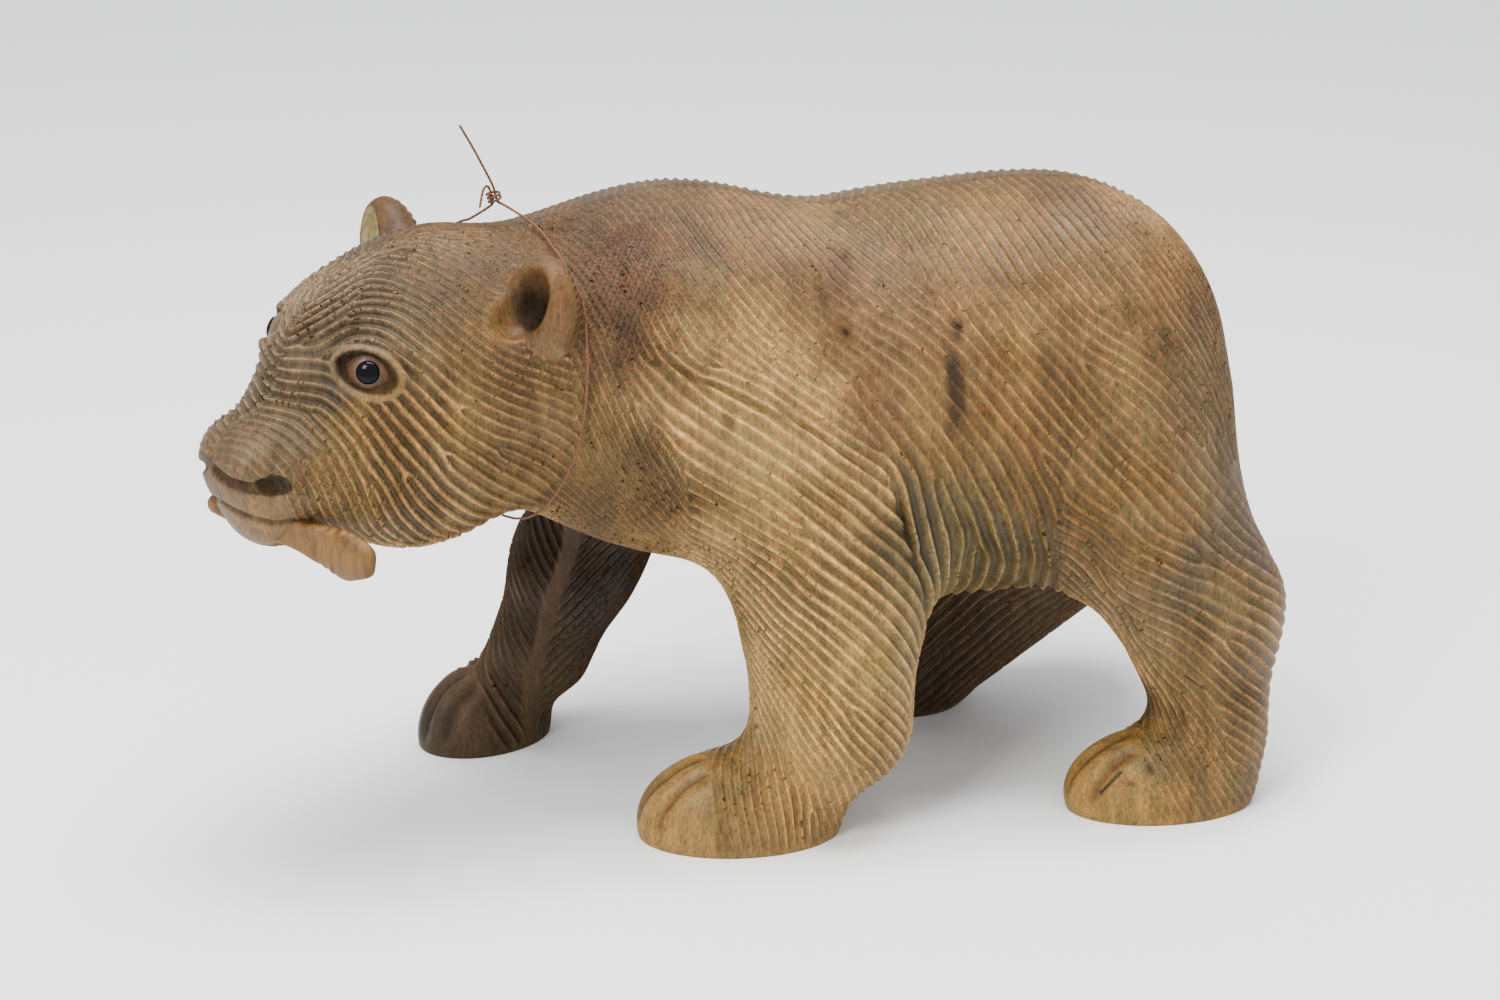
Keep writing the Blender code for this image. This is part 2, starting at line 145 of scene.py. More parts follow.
END_ROUTE = (
    (-79.6, 4.3, 188.1), (-78.3, 4.3, 189.6), (-78.7, 4.45, 191.6), (-79.2, 4.5, 193.4),
    (-80.1, 4.2, 194.4), (-81.2, 3.6, 193.4), (-81.9, 2.8, 191.4), (-82.8, 1.0, 188.9),
)
KNOT_AT = (-78.0, 4.4, 191.1)
KNOT_RADIUS = 1.9
KNOT_WIRE = 0.4
KNOT_TURNS = 2.4
KNOT_PITCH = 1.15

# Each stroke is the regions that it guides, the groove width there, and side-view points (x, z) along a
# groove. The head's points are in the head's axes. The points were traced by eye on the photo's grooves,
# and a helper script turned them into these side-view places.
STROKES = (
    ((HEAD,), 2.5, ((-49, -4), (-44, -4), (-40, -10), (-37, -18), (-34, -27))),
    ((HEAD,), 2.7, ((-39, 2), (-32, 2), (-28, -6), (-25, -17), (-22, -26))),
    ((HEAD,), 3.1, ((-32, 8), (-25, 8), (-20, -1), (-16, -13), (-9, -27))),
    ((HEAD,), 3.3, ((-30, 12), (-26, 13), (-23, 9), (-18, -1), (-11, -16), (-4, -25))),
    ((HEAD,), 3.7, ((-22, 8), (-16, 1), (-10, -8), (-3, -17), (9, -27))),
    ((HEAD,), 3.9, ((-12, 14), (-7, 4), (1, -7), (14, -17), (31, -27))),
    ((HEAD,), 3.3, ((-25, 19), (-18, 24), (-12, 23), (-9, 18), (-4, 11), (2, 2), (13, -5), (30, -10))),
    ((HEAD,), 2.9, ((-22, 24), (-14, 28), (-8, 27), (-2, 18), (7, 7), (18, 0), (31, -4))),
    ((HEAD,), 2.6, ((-15, 30), (-7, 33), (-1, 30), (5, 21), (14, 11), (23, 5), (32, 2))),
    ((HEAD,), 2.4, ((-5, 35), (2, 36), (6, 32), (12, 24), (19, 14))),
    ((HEAD,), 2.4, ((5, 39), (12, 38), (17, 32), (20, 28))),
    ((HEAD,), 2.4, ((20, 41), (27, 38), (31, 35))),
    ((TRUNK,), 2.2, ((-66, 185), (-60, 181), (-53, 168), (-48, 153))),
    ((TRUNK,), 2.2, ((-52, 187), (-48, 183), (-41, 170), (-37, 157))),
    ((TRUNK, LEFT_FORE), 2.6, ((-39, 191), (-35, 185), (-28, 173), (-19, 162), (-6, 151))),
    ((TRUNK,), 2.9, ((-27, 192), (-21, 183), (-14, 173), (-3, 159), (5, 151))),
    ((TRUNK,), 3.0, ((-15, 192), (-8, 182), (1, 171), (13, 160), (28, 147))),
    ((TRUNK,), 3.1, ((4, 188), (11, 181), (20, 172), (30, 163))),
    ((TRUNK,), 2.3, ((-60, 158), (-55, 142), (-48, 125), (-36, 105))),
    ((TRUNK,), 3.2, ((-46, 158), (-37, 151), (-24, 146), (-11, 141), (1, 133), (26, 118))),
    ((LEFT_FORE,), 4.2, ((-46, 155), (-35, 145), (-22, 137), (-12, 130), (-1, 121), (10, 111))),
    ((LEFT_FORE,), 4.4, ((-38, 134), (-27, 125), (-12, 113), (-4, 105), (16, 88))),
    ((LEFT_FORE,), 4.2, ((-34, 118), (-18, 109), (2, 96), (26, 79))),
    ((LEFT_FORE,), 3.4, ((-31, 99), (-16, 89), (7, 70), (26, 50))),
    ((LEFT_FORE,), 3.0, ((-21, 81), (-8, 70), (14, 46), (29, 28))),
    ((LEFT_FORE,), 2.8, ((-16, 65), (-6, 48), (7, 29), (16, 8))),
    ((LEFT_FORE,), 2.8, ((-14, 47), (-10, 33), (-7, 15), (-6, 7))),
    ((LEFT_FORE,), 2.8, ((-19, 27), (-22, 23), (-21, 11))),
    (FLANK, 3.4, ((44, 184), (47, 178), (53, 168), (62, 158), (75, 146), (85, 132), (94, 123), (107, 111))),
    (FLANK, 3.5, ((60, 187), (64, 182), (70, 168), (80, 157), (98, 145), (110, 135))),
    (FLANK, 3.4, ((79, 189), (84, 181), (94, 167), (107, 149), (120, 128))),
    (FLANK, 3.2, ((96, 187), (104, 177), (116, 160), (126, 144), (131, 124))),
    (FLANK, 3.8, ((18, 158), (31, 152), (44, 139), (54, 123))),
    ((TRUNK,), 4.3, ((17, 149), (27, 135), (36, 121), (41, 100), (44, 80))),
    ((TRUNK,), 4.6, ((51, 120), (57, 104), (62, 86), (64, 66))),
    (HIND, 4.4, ((64, 114), (76, 103), (83, 98), (96, 86), (109, 81), (133, 75), (142, 70))),
    (HIND, 4.2, ((89, 110), (103, 95), (123, 84), (143, 75))),
    (HIND, 3.8, ((107, 109), (120, 95), (138, 79))),
    ((LEFT_HIND,), 4.0, ((96, 76), (110, 72), (128, 59), (147, 41))),
    ((LEFT_HIND,), 3.6, ((101, 64), (115, 59), (129, 45), (144, 31))),
    ((LEFT_HIND,), 3.4, ((84, 84), (92, 72), (104, 52))),
    ((LEFT_HIND,), 2.2, ((110, 25), (116, 12))),
    ((LEFT_HIND,), 2.2, ((118, 31), (128, 14))),
    ((LEFT_HIND,), 3.0, ((133, 30), (141, 24))),
    ((RIGHT_FORE,), 3.4, ((-58, 98), (-56, 84), (-50, 70))),
    ((RIGHT_FORE,), 3.4, ((-68, 78), (-66, 69), (-59, 57), (-55, 52))),
    ((RIGHT_FORE,), 3.4, ((-70, 66), (-69, 59), (-63, 48), (-59, 43))),
    ((RIGHT_FORE,), 3.8, ((-74, 46), (-71, 38), (-67, 30), (-64, 25))),
    ((RIGHT_FORE_BACK,), 3.2, ((-34, 90), (-44, 79), (-51, 70))),
    ((RIGHT_FORE_BACK,), 3.0, ((-31, 69), (-42, 58), (-50, 47))),
    ((RIGHT_FORE_BACK,), 3.0, ((-33, 60), (-45, 42), (-56, 31))),
    ((RIGHT_FORE_BACK,), 3.0, ((-42, 34), (-50, 24), (-60, 12))),
    ((RIGHT_HIND,), 3.4, ((110, 62), (85, 40), (66, 16))),
    ((RIGHT_HIND,), 3.4, ((95, 80), (72, 52), (54, 26))),
)
GROOVE_DEPTH = 0.26
GROOVE_LEAN = 0.55
EAR_GROOVE_WIDTH = 2.2
SOLVE_ROUNDS = 500
EVEN_ROUNDS = 40
STROKE_REACH = 5.0
CREST_RELIEF = 0.45
GRAIN_RELIEF = 0.06

FOLD_X, FOLD_Z = (-46, -24, 1, 26), (157, 146, 133, 111)
REAR_Z, REAR_X = (60, 78, 98, 111), (40, 37, 31, 26)
FRONT_Z, FRONT_X = (80, 99, 118, 134, 157), (-29, -31, -34, -38, -46)
NECK_SEAM = 37.0
NECK_X, NECK_Y = (-92, -30), (-11, 0)
HIND_BIAS = 3.0
SHIN_Z, SHIN_X = (27, 41, 56, 66, 75), (-65, -62, -60, -57, -54)

# The colour near places on the bear, and how much painted shade the grooves' floors get there. A helper
# script gave most of the places, and the ratios to the photo that the colours were adjusted by.
TONES = (
    ((-151, -36, 150), (0.138, 0.088, 0.039), 0.75),
    ((-132, -41, 169), (0.106, 0.067, 0.029), 0.78),
    ((-117, -60, 134), (0.242, 0.134, 0.034), 0.80),
    ((-109, -57, 118), (0.290, 0.174, 0.060), 0.84),
    ((-161, -52, 135), (0.086, 0.051, 0.020), 0.20),
    ((-154, -43, 112), (0.118, 0.064, 0.021), 0.20),
    ((-74, -50, 147), (0.123, 0.066, 0.019), 0.55),
    ((-70, -54, 177), (0.070, 0.033, 0.008), 0.20),
    ((-63, -45, 165), (0.100, 0.056, 0.020), 0.50),
    ((-108, 19, 184), (0.060, 0.028, 0.006), 0.30),
    ((-56, -39, 171), (0.064, 0.024, 0.006), 0.50),
    ((-47, -48, 120), (0.088, 0.047, 0.010), 0.50),
    ((-38, -8, 191), (0.071, 0.039, 0.016), 0.35),
    ((5, -29, 179), (0.140, 0.075, 0.024), 0.28),
    ((41, -5, 186), (0.132, 0.077, 0.024), 0.28),
    ((79, -30, 180), (0.122, 0.066, 0.018), 0.28),
    ((72, -2, 190), (0.100, 0.054, 0.015), 0.28),
    ((96, -45, 162), (0.190, 0.100, 0.032), 0.38),
    ((30, -45, 158), (0.160, 0.084, 0.027), 0.33),
    ((57, -56, 138), (0.126, 0.065, 0.016), 0.43),
    ((89, -61, 131), (0.118, 0.067, 0.017), 0.45),
    ((47, -51, 94), (0.100, 0.070, 0.022), 0.70),
    ((-25, -55, 139), (0.330, 0.195, 0.060), 0.55),
    ((-4, -63, 97), (0.296, 0.176, 0.052), 0.64),
    ((1, -66, 60), (0.350, 0.212, 0.058), 0.60),
    ((-30, -47, 17), (0.205, 0.112, 0.027), 0.35),
    ((100, -68, 102), (0.133, 0.071, 0.017), 0.50),
    ((123, -65, 86), (0.102, 0.066, 0.030), 0.55),
    ((135, -68, 62), (0.170, 0.100, 0.030), 0.50),
    ((129, -66, 40), (0.123, 0.072, 0.020), 0.55),
    ((97, -61, 12), (0.175, 0.095, 0.020), 0.30),
    ((123, -53, 131), (0.112, 0.067, 0.025), 0.40),
    # The far legs' and far feet's colours below are darkened as painted shade.
    ((-55, 21, 70), (0.033, 0.015, 0.003), 0.65),
    ((-86, 30, 15), (0.044, 0.024, 0.007), 0.40),
    ((77, 17, 27), (0.076, 0.044, 0.017), 0.60),
)
TONE_REACH = 14.0

# Darker or lighter patches on the bear: their middles, half sizes and what they multiply the colour by. A few
# are painted light and shade, as marked below.
PATCHES = (
    ((44, -53, 143), (3.2, 14, 8.5), (0.24, 0.21, 0.18)),
    ((46, -53, 125), (4, 14, 14), (0.75, 0.74, 0.72)),
    ((15, -38, 172), (5, 18, 10), (0.66, 0.62, 0.56)),
    ((9, -47, 155), (9, 16, 11), (0.74, 0.71, 0.66)),
    ((-36, -50, 151), (9, 14, 9), (0.60, 0.57, 0.57)),
    ((-22, -30, 178), (7, 16, 10), (0.80, 0.78, 0.72)),
    ((84, -50, 160), (20, 14, 6), (0.92, 0.92, 0.88)),
    ((112, -60, 20), (9, 12, 11), (0.60, 0.66, 0.80)),
    # Painted shadow above the hind ankle.
    ((108, -48, 33), (12, 14, 5), (0.45, 0.42, 0.38)),
    ((70, -42, 168), (12, 14, 3.5), (0.72, 0.69, 0.62)),
    ((95, -48, 158), (13, 14, 4.5), (0.88, 0.88, 0.82)),
    ((112, -50, 147), (12, 14, 5), (0.80, 0.78, 0.72)),
    ((60, -53, 149), (22, 14, 4), (0.84, 0.82, 0.76)),
    ((-44, -46, 165), (7, 14, 14), (0.72, 0.68, 0.60)),
    # Painted highlight: a glint on the shoulder.
    ((-5, -40, 171), (10, 14, 7), (1.10, 1.12, 1.15)),
    # Painted highlight: a shiny spot on the hind foot.
    ((104, -61, 17), (5, 9, 4), (1.20, 1.25, 1.35)),
    ((100, -61, 13.5), (2.2, 9, 1.2), (0.60, 0.42, 0.30)),
    ((-29, -42, 25), (9, 12, 5), (1.22, 1.28, 1.32)),
)

# Thin drying cracks: the places that each runs through.
CRACKS = (
    ((91.5, -57.7, 9.4), (94.6, -58.3, 13.3), (97.7, -58.2, 16.3)),
    ((115.3, -62.7, 47.1), (118.2, -63.8, 45.6), (120.6, -64.2, 43.6)),
)
CRACK_RADIUS = 0.45

# Painted shade: what the toes' cuts, the rear seam and the arcs over the eyes multiply the colour by. Then
# two
# more colours: painted light for the far ear's cup, and near-black painted shade for the recesses and cracks.
TOE_SHADE = (0.40, 0.31, 0.25)
SEAM_SHADE = (0.35, 0.35, 0.33)
LID_SHADE = (0.5, 0.45, 0.4)
LIT_EAR_CUP = (0.25, 0.20, 0.08)
RECESS_SHADE = (0.010, 0.008, 0.006)
# What the grooves' crests and floors multiply the wood's colour by: a painted highlight along the crests,
# which also stands for their paler worn wood, and painted shade on the floors.
CREST_HIGHLIGHT = (1.85, 1.95, 2.6)
FLOOR_SHADE = (0.22, 0.24, 0.24)


def vec(*values):
    return np.array(values, float)


def turn(yaw=0.0, pitch=0.0, roll=0.0):
    """The rotation whose columns are the turned local axes, from angles in degrees."""
    y, t, r = np.radians([yaw, pitch, roll])
    about_z = np.array([[np.cos(y), -np.sin(y), 0], [np.sin(y), np.cos(y), 0], [0, 0, 1]])
    about_y = np.array([[np.cos(t), 0, np.sin(t)], [0, 1, 0], [-np.sin(t), 0, np.cos(t)]])
    about_x = np.array([[1, 0, 0], [0, np.cos(r), -np.sin(r)], [0, np.sin(r), np.cos(r)]])
    return about_z @ about_y @ about_x


def smooth(value, low, high):
    """0 at low, 1 at high and a smooth step between."""
    t = np.clip((value - low) / (high - low), 0, 1)
    return t * t * (3 - 2 * t)


def length(v):
    return np.linalg.norm(v, axis=-1, keepdims=True)


def dot(a, b):
    return (a * b).sum(axis=1)


def columns(*values):
    return np.stack(values, axis=1)


def cone(p, start, end, start_radius, end_radius):
    """The field of a limb with round ends."""
    a = vec(*start)
    along = vec(*end) - a
    t = np.clip((p - a) @ along / (along @ along), 0, 1)
    gap = np.linalg.norm(p - a - t[:, None] * along, axis=1)
    return gap - start_radius - (end_radius - start_radius) * t


def ellipsoid(p, centre, radii, yaw=0.0, pitch=0.0, roll=0.0):
    q = (p - vec(*centre)) @ turn(yaw, pitch, roll)
    r = vec(*radii)
    scaled = np.linalg.norm(q / r, axis=1)
    return scaled * (scaled - 1) / (np.linalg.norm(q / r**2, axis=1) + 1e-9)


def join(a, b, blend):
    h = np.maximum(blend - np.abs(a - b), 0) / blend
    return np.minimum(a, b) - h * h * blend / 4


def cut(a, b, blend):
    return -join(-a, b, blend)


def groove(p, points, radius):
    """A round-bottomed cut through points."""
    runs = [cone(p, a, b, radius, radius) for a, b in zip(points[:-1], points[1:])]
    return np.minimum.reduce(runs)


def trunk(p):
    d = ellipsoid(p, (-26, 0, 135), (50, 51, 52.2))
    d = join(d, ellipsoid(p, (43, 0, 122.8), (72, 56, 63.7)), 26)
    d = join(d, ellipsoid(p, (92, 0, 125), (53, 55, 61)), 26)
    return join(d, cone(p, (-30, 0, 140), (-92, -11, 147), 46, 38.5), 24)


def leg(p, limb):
    """The field of a leg and its foot."""
    joints = LEG_JOINTS[limb]
    runs = [cone(p, a, b, a_radius, b_radius) for (a, a_radius), (b, b_radius) in zip(joints, joints[1:])]
    d = runs[0]
    for run in runs[1:]:
        d = join(d, run, KNEE_BLEND)
    centre, radii, yaw, blend, _ = FEET[limb]
    return join(d, ellipsoid(p, centre, radii, yaw=yaw), blend)


def in_head(p):
    """Points in the head's own axes: x backwards, y to its right, z up."""
    return (p - vec(*HEAD_AT)) @ turn(HEAD_YAW)


def folded(q):
    """Points of the head with its right half folded onto its left."""
    return columns(q[:, 0], -np.abs(q[:, 1]), q[:, 2])


def eye_axes():
    """The eye's axes in the head: x out of the socket, y backwards, z up."""
    out = vec(*EYE_AIM) / np.linalg.norm(EYE_AIM)
    up = vec(0, 0, 1) - out[2] * out
    up /= np.linalg.norm(up)
    return columns(out, np.cross(up, out), up)


def in_eye(h):
    """Points in the slanted eye's axes."""
    return (h - vec(*EYE_AT)) @ eye_axes() @ turn(roll=EYE_SLANT)


def almond(g, half_width, half_height, depth, out):
    """The lens where two rounds cross, pointed at both corners of the eye."""
    whole = half_width**2 / half_height
    radius, offset = (whole + half_height) / 2, (whole - half_height) / 2
    lower = ellipsoid(g, (out, 0, -offset), (depth, radius, radius))
    upper = ellipsoid(g, (out, 0, offset), (depth, radius, radius))
    return np.maximum(lower, upper)


def with_sockets(d, h):
    g = in_eye(h)
    d = join(d, almond(g, 12.5, 8.6, 6.0, -2.5), 3)
    return cut(d, almond(g, 9.2, 5.5, 6.0, 1.5), 0.8)


def nose_pad(h):
    return ellipsoid(h, (-43.5, -3.0, -9.5), (9.5, 11, 6), pitch=-30)


def nostril(h):
    return ellipsoid(h, (-44.5, -17.2, -15.9), (5.4, 3.6, 2.7), yaw=-40)


def with_nose_and_lips(d, h):
    d = join(d, nose_pad(h), 5)
    d = cut(d, groove(h, NOSE_LINE, SLOT_RADIUS), 0.8)
    d = cut(d, nostril(h), 0.8)
    return cut(d, groove(h, LIP_LINE, LIP_RADIUS), 1)


def skull(p):
    """The head before its sockets, nose line and lips are cut."""
    q = in_head(p)
    h = folded(q)
    d = ellipsoid(q, (9, 0, 1), (38, 35, 35), pitch=-12)
    d = join(d, ellipsoid(q, (-8, 0, 12), (22, 25, 18.5)), 10)
    d = join(d, cone(q, (-12, 0, -10), (-38.5, 0, -15.5), 27, 15), 10)
    d = join(d, ellipsoid(h, (-24, -8, -15), (24, 15, 15), pitch=-10), 8)
    d = join(d, ellipsoid(h, (-30, -4, -5), (20, 9, 8), pitch=-28), 6)
    d = join(d, ellipsoid(q, (-34, 0, -29.5), (13, 12.5, 10.5)), 8)
    return join(d, ellipsoid(h, (2.5, -15, -15.5), (31.5, 25, 28.3)), 12)


def head(p):
    q = in_head(p)
    h = folded(q)
    d = cut(with_sockets(skull(p), h), cone(q, *FAR_BROW_HOLLOW, 6.5, 5), 1.5)
    return with_nose_and_lips(d, h)


def ears(p):
    """Each ear's points in the head's axes, folded onto the left."""
    for side, lead in ((1, 0), (-1, EAR_LEAD)):
        yield in_head(p) * vec(1, side, 1) + vec(lead, 0, 0)


def ear(h):
    return ellipsoid(h, (33, -36.5, 25), (9, 12, 16.5), yaw=4, roll=22)


def ear_cup(h):
    return ellipsoid(h, (23.5, -39.5, 29.0), (9.5, 7.0, 11), yaw=6, roll=22)


def with_ears(d, p):
    for h in ears(p):
        d = cut(join(d, ear(h), 6), ear_cup(h), 2)
    return d


def bear(p):
    """The carved block's smooth shape, before its soles are flattened."""
    d = trunk(p)
    for limb in FEET:
        d = join(d, leg(p, limb), 17)
    return with_ears(join(d, head(p), 20), p)


def fish(q):
    """The fish in the head's axes, its tail on the bear's left."""
    d = cone(q, FISH_NOSE, FISH_MIDDLE, 3.0, 4.6)
    d = join(d, cone(q, FISH_MIDDLE, FISH_STALK, 4.6, 4.4), 3)
    return join(d, ellipsoid(q, FISH_FIN, (12, 3, 7.4), yaw=-70, pitch=10), 5)


def grid_values(field, axes):
    """The field at every point of a grid, one slice of constant x at a time."""
    y, z = np.meshgrid(axes[1], axes[2], indexing="ij")
    slices = []
    for x in axes[0]:
        points = columns(np.full(y.size, x), y.ravel(), z.ravel())
        slices.append(field(points).reshape(y.shape))
    return np.array(slices)


def fill_pinches(values):
    """Fills the field where the inside would meet itself only along an edge."""
    for _ in range(PINCH_ROUNDS):
        for u, v in ((0, 1), (0, 2), (1, 2)):
            grid = np.moveaxis(values, (u, v), (0, 1))
            a, b, c, d = grid[:-1, :-1], grid[1:, 1:], grid[1:, :-1], grid[:-1, 1:]
            pinched = ((a < 0) == (b < 0)) & ((c < 0) == (d < 0)) & ((a < 0) != (c < 0))
            for corner in (a, b, c, d):
                corner[pinched] = np.minimum(corner[pinched], -PINCH_FILL)


def cell_points(values, cells):
    """The mean crossing of each cell's edges, in cells from its low corner."""
    total = np.zeros((len(cells), 3))
    count = np.zeros(len(cells))
    for corner in np.ndindex(2, 2, 2):
        for axis in range(3):
            if corner[axis]:
                continue
            other = list(corner)
            other[axis] = 1
            a = values[tuple((cells + corner).T)]
            b = values[tuple((cells + other).T)]
            crossed = (a < 0) != (b < 0)
            at = np.repeat(np.array([corner], float), len(cells), axis=0)
            at[:, axis] += np.where(crossed, a / np.where(crossed, a - b, 1), 0)
            total += at * crossed[:, None]
            count += crossed
    return total / count[:, None]


def cell_quads(inside, index):
    """A quad around every grid edge that crosses the surface, facing out."""
    quads = []
    for axis, u, v in ((0, 1, 2), (1, 2, 0), (2, 0, 1)):
        low = np.take(inside, range(inside.shape[axis] - 1), axis)
        high = np.take(inside, range(1, inside.shape[axis]), axis)
        edges = np.argwhere(low != high)
        around = []
        for du, dv in ((1, 1), (0, 1), (0, 0), (1, 0)):
            cell = edges.copy()
            cell[:, u] -= du
            cell[:, v] -= dv
            around.append(index[tuple(cell.T)])
        ring = np.stack(around, axis=1)
        flipped = ~low[tuple(edges.T)]
        ring[flipped] = ring[flipped][:, ::-1]
        quads.append(ring)
    return np.concatenate(quads)


def surface(field, box, step):
    """Vertices and quads of the field's zero surface, and the grid of its cells' vertex numbers."""
    low = vec(*box[0])
    counts = np.ceil((vec(*box[1]) - low) / step).astype(int) + 1
    values = grid_values(field, [low[i] + step * np.arange(counts[i]) for i in range(3)])
    fill_pinches(values)
    inside = values < 0
    filled = sum(
        inside[i : counts[0] - 1 + i, j : counts[1] - 1 + j, k : counts[2] - 1 + k].astype(int)
        for i, j, k in np.ndindex(2, 2, 2)
    )
    crossed = (filled > 0) & (filled < 8)
    cells = np.argwhere(crossed)
    index = np.full(crossed.shape, -1)
    index[crossed] = np.arange(len(cells))
    return low + step * (cells + cell_points(values, cells)), cell_quads(inside, index), index


def slope(field, p, nudge=0.05):
    """The field's value and unit gradient."""
    d = field(p)
    g = np.stack([field(p + nudge * e) - d for e in np.eye(3)], axis=1)
    return d, g / (length(g) + 1e-12)


def seated(field, p):
    """Points moved onto the field's zero surface, with the surface's normals there."""
    d, n = slope(field, p)
    return p - n * np.clip(d, -1, 1)[:, None], n


def split(vertices, quads):
    """Every quad divided into four."""
    edges = np.sort(np.stack([quads, np.roll(quads, -1, axis=1)], axis=2), axis=2)
    keys, where = np.unique(edges.reshape(-1, 2) @ [len(vertices), 1], return_inverse=True)
    ends = columns(keys // len(vertices), keys % len(vertices))
    middles = vertices[ends].mean(axis=1)
    centres = vertices[quads].mean(axis=1)
    edge = len(vertices) + where.reshape(quads.shape)
    centre = len(vertices) + len(middles) + np.arange(len(quads))
    parts = [
        columns(quads[:, i], edge[:, i], centre, edge[:, i - 1]) for i in range(4)
    ]
    return np.concatenate([vertices, middles, centres]), np.concatenate(parts)


def placed(name, data):
    """A new object in the scene."""
    ob = bpy.data.objects.new(name, data)
    bpy.context.scene.collection.objects.link(ob)
    return ob


def new_mesh(name, vertices, faces, material):
    mesh = bpy.data.meshes.new(name)
    mesh.vertices.add(len(vertices))
    mesh.vertices.foreach_set("co", ((vertices - MIDDLE) * MM).ravel())
    mesh.loops.add(faces.size)
    mesh.loops.foreach_set("vertex_index", faces.ravel().astype(np.int32))
    mesh.polygons.add(len(faces))
    mesh.polygons.foreach_set("loop_start", np.arange(0, faces.size, faces.shape[1], dtype=np.int32))
    mesh.polygons.foreach_set("use_smooth", np.ones(len(faces), bool))
    mesh.update(calc_edges=True)
    mesh.materials.append(material)
    return placed(name, mesh)


def instead_of(ob, node):
    """The piece is shown in place of the CAD node and moves with the bear."""
    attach(ob, "root")
    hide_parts(node)


def keep(ob, name, values, kind):
    """Stores a value on every vertex."""
    layer = ob.data.attributes.new(name, kind, "POINT")
    if kind == "FLOAT_COLOR":
        opaque = np.concatenate([values, np.ones((len(values), 1))], axis=1)
        layer.data.foreach_set("color", opaque.ravel())
    else:
        layer.data.foreach_set("vector", values.ravel())


def wobble(p, size, seed):
    """A smooth random value from about -1 to 1, in waves of about the size given."""
    draw = np.random.default_rng(seed)
    total = np.zeros(len(p))
    for _ in range(7):
        way = draw.normal(size=3)
        way *= 2 * np.pi / size / np.linalg.norm(way) * draw.uniform(0.6, 1.5)
        total += np.sin(p @ way + draw.uniform(0, 2 * np.pi))
    return total / 2.6


def region_of(p):
    """The part of the bear that each point belongs to."""
    fields = np.stack([leg(p, limb) for limb in FEET] + [trunk(p)], axis=1)
    fields[:, 2:4] += HIND_BIAS
    region = np.array([*FEET, TRUNK])[fields.argmin(axis=1)]
    x, y, z = p.T
    under_fold = (z < np.interp(x, FOLD_X, FOLD_Z)) & (x < np.interp(z, REAR_Z, REAR_X))
    shoulder = under_fold & (x > np.interp(z, FRONT_Z, FRONT_X)) & (y < -12)
    region[(z > 60) & (region == LEFT_FORE)] = TRUNK
    region[(z > 60) & shoulder] = LEFT_FORE
    region[(region == RIGHT_FORE) & (x > np.interp(z, SHIN_Z, SHIN_X))] = RIGHT_FORE_BACK
    q = in_head(p)
    region[(q[:, 0] < NECK_SEAM) & (z > 85)] = HEAD
    bare = skull(p)
    for h in ears(p):
        region[(ear(h) < bare - 1) & (ear(h) < 2.5)] = EAR
    return region


def local(p, region):
    """Points folded onto the side that the strokes are drawn on, and the sign of the side each came from."""
    if region == HEAD:
        q = in_head(p)
    elif region == TRUNK:
        q = p.copy()
        q[:, 1] -= np.interp(p[:, 0], NECK_X, NECK_Y)
    elif region == RIGHT_HIND:
        return p * vec(1, -1, 1), -np.ones(len(p))
    else:
        return p, np.ones(len(p))
    return folded(q), np.where(q[:, 1] > 0, -1.0, 1.0)


def lifted(points, region):
    """Side-view points put on the wood, in the region's folded axes."""
    field = {
        HEAD: lambda q: skull(q @ turn(HEAD_YAW).T + vec(*HEAD_AT)),
        RIGHT_FORE: lambda q: leg(q, RIGHT_FORE),
        RIGHT_FORE_BACK: lambda q: leg(q, RIGHT_FORE),
        RIGHT_HIND: lambda q: leg(q, RIGHT_HIND),
    }.get(region, lambda q: np.minimum(trunk(q), np.minimum(leg(q, LEFT_FORE), leg(q, LEFT_HIND))))
    out = []
    for x, z in points:
        y = np.arange(-90, 40, 0.25)
        d = field(columns(np.full(y.size, x), y, np.full(y.size, z)))
        out.append((x, y[np.argmax(d < 0) if (d < 0).any() else d.argmin()], z))
    return np.array(out, float)


def guides(region):
    """The middles, unit directions and groove widths of the strokes' pieces in a region."""
    middles, ways, widths = [], [], []
    for regions, width, points in STROKES:
        if region not in regions:
            continue
        line = lifted(points, regions[0])
        if regions == (RIGHT_HIND,):
            line = line * vec(1, -1, 1)
        middles.append((line[1:] + line[:-1]) / 2)
        ways.append((line[1:] - line[:-1]) / length(line[1:] - line[:-1]))
        widths.append(np.full(len(line) - 1, width))
    return np.concatenate(middles), np.concatenate(ways), np.concatenate(widths)


def flow(p, n, region):
    """The direction along the grooves and their width at each point."""
    way = np.zeros_like(p)
    width = np.zeros(len(p))
    for r in range(EAR):
        here = region == r
        if not here.any():
            continue
        q, side = local(p[here], r)
        middles, ways, widths = guides(r)
        far = ((q[:, None, :] - middles[None]) ** 2).sum(axis=2)
        weight = 1 / (far + STROKE_REACH**2) ** 2
        g = weight @ ways
        g[:, 1] *= side
        if r == HEAD:
            g = g @ turn(HEAD_YAW).T
        way[here] = g
        width[here] = weight @ widths / weight.sum(axis=1)
    back = region == EAR
    way[back] = np.cross([0, 0, 1.0], n[back])
    width[back] = EAR_GROOVE_WIDTH
    way -= n * (way * n).sum(axis=1, keepdims=True)
    return way / (length(way) + 1e-9), width


def neighbours(index, cells, own=True):
    """The vertex in each cell beside the given ones, and whether there is one."""
    for offset in np.ndindex(3, 3, 3):
        if own or offset != (1, 1, 1):
            at = np.clip(cells + np.array(offset) - 1, 0, np.array(index.shape) - 1)
            found = index[tuple(at.T)]
            yield found, found >= 0


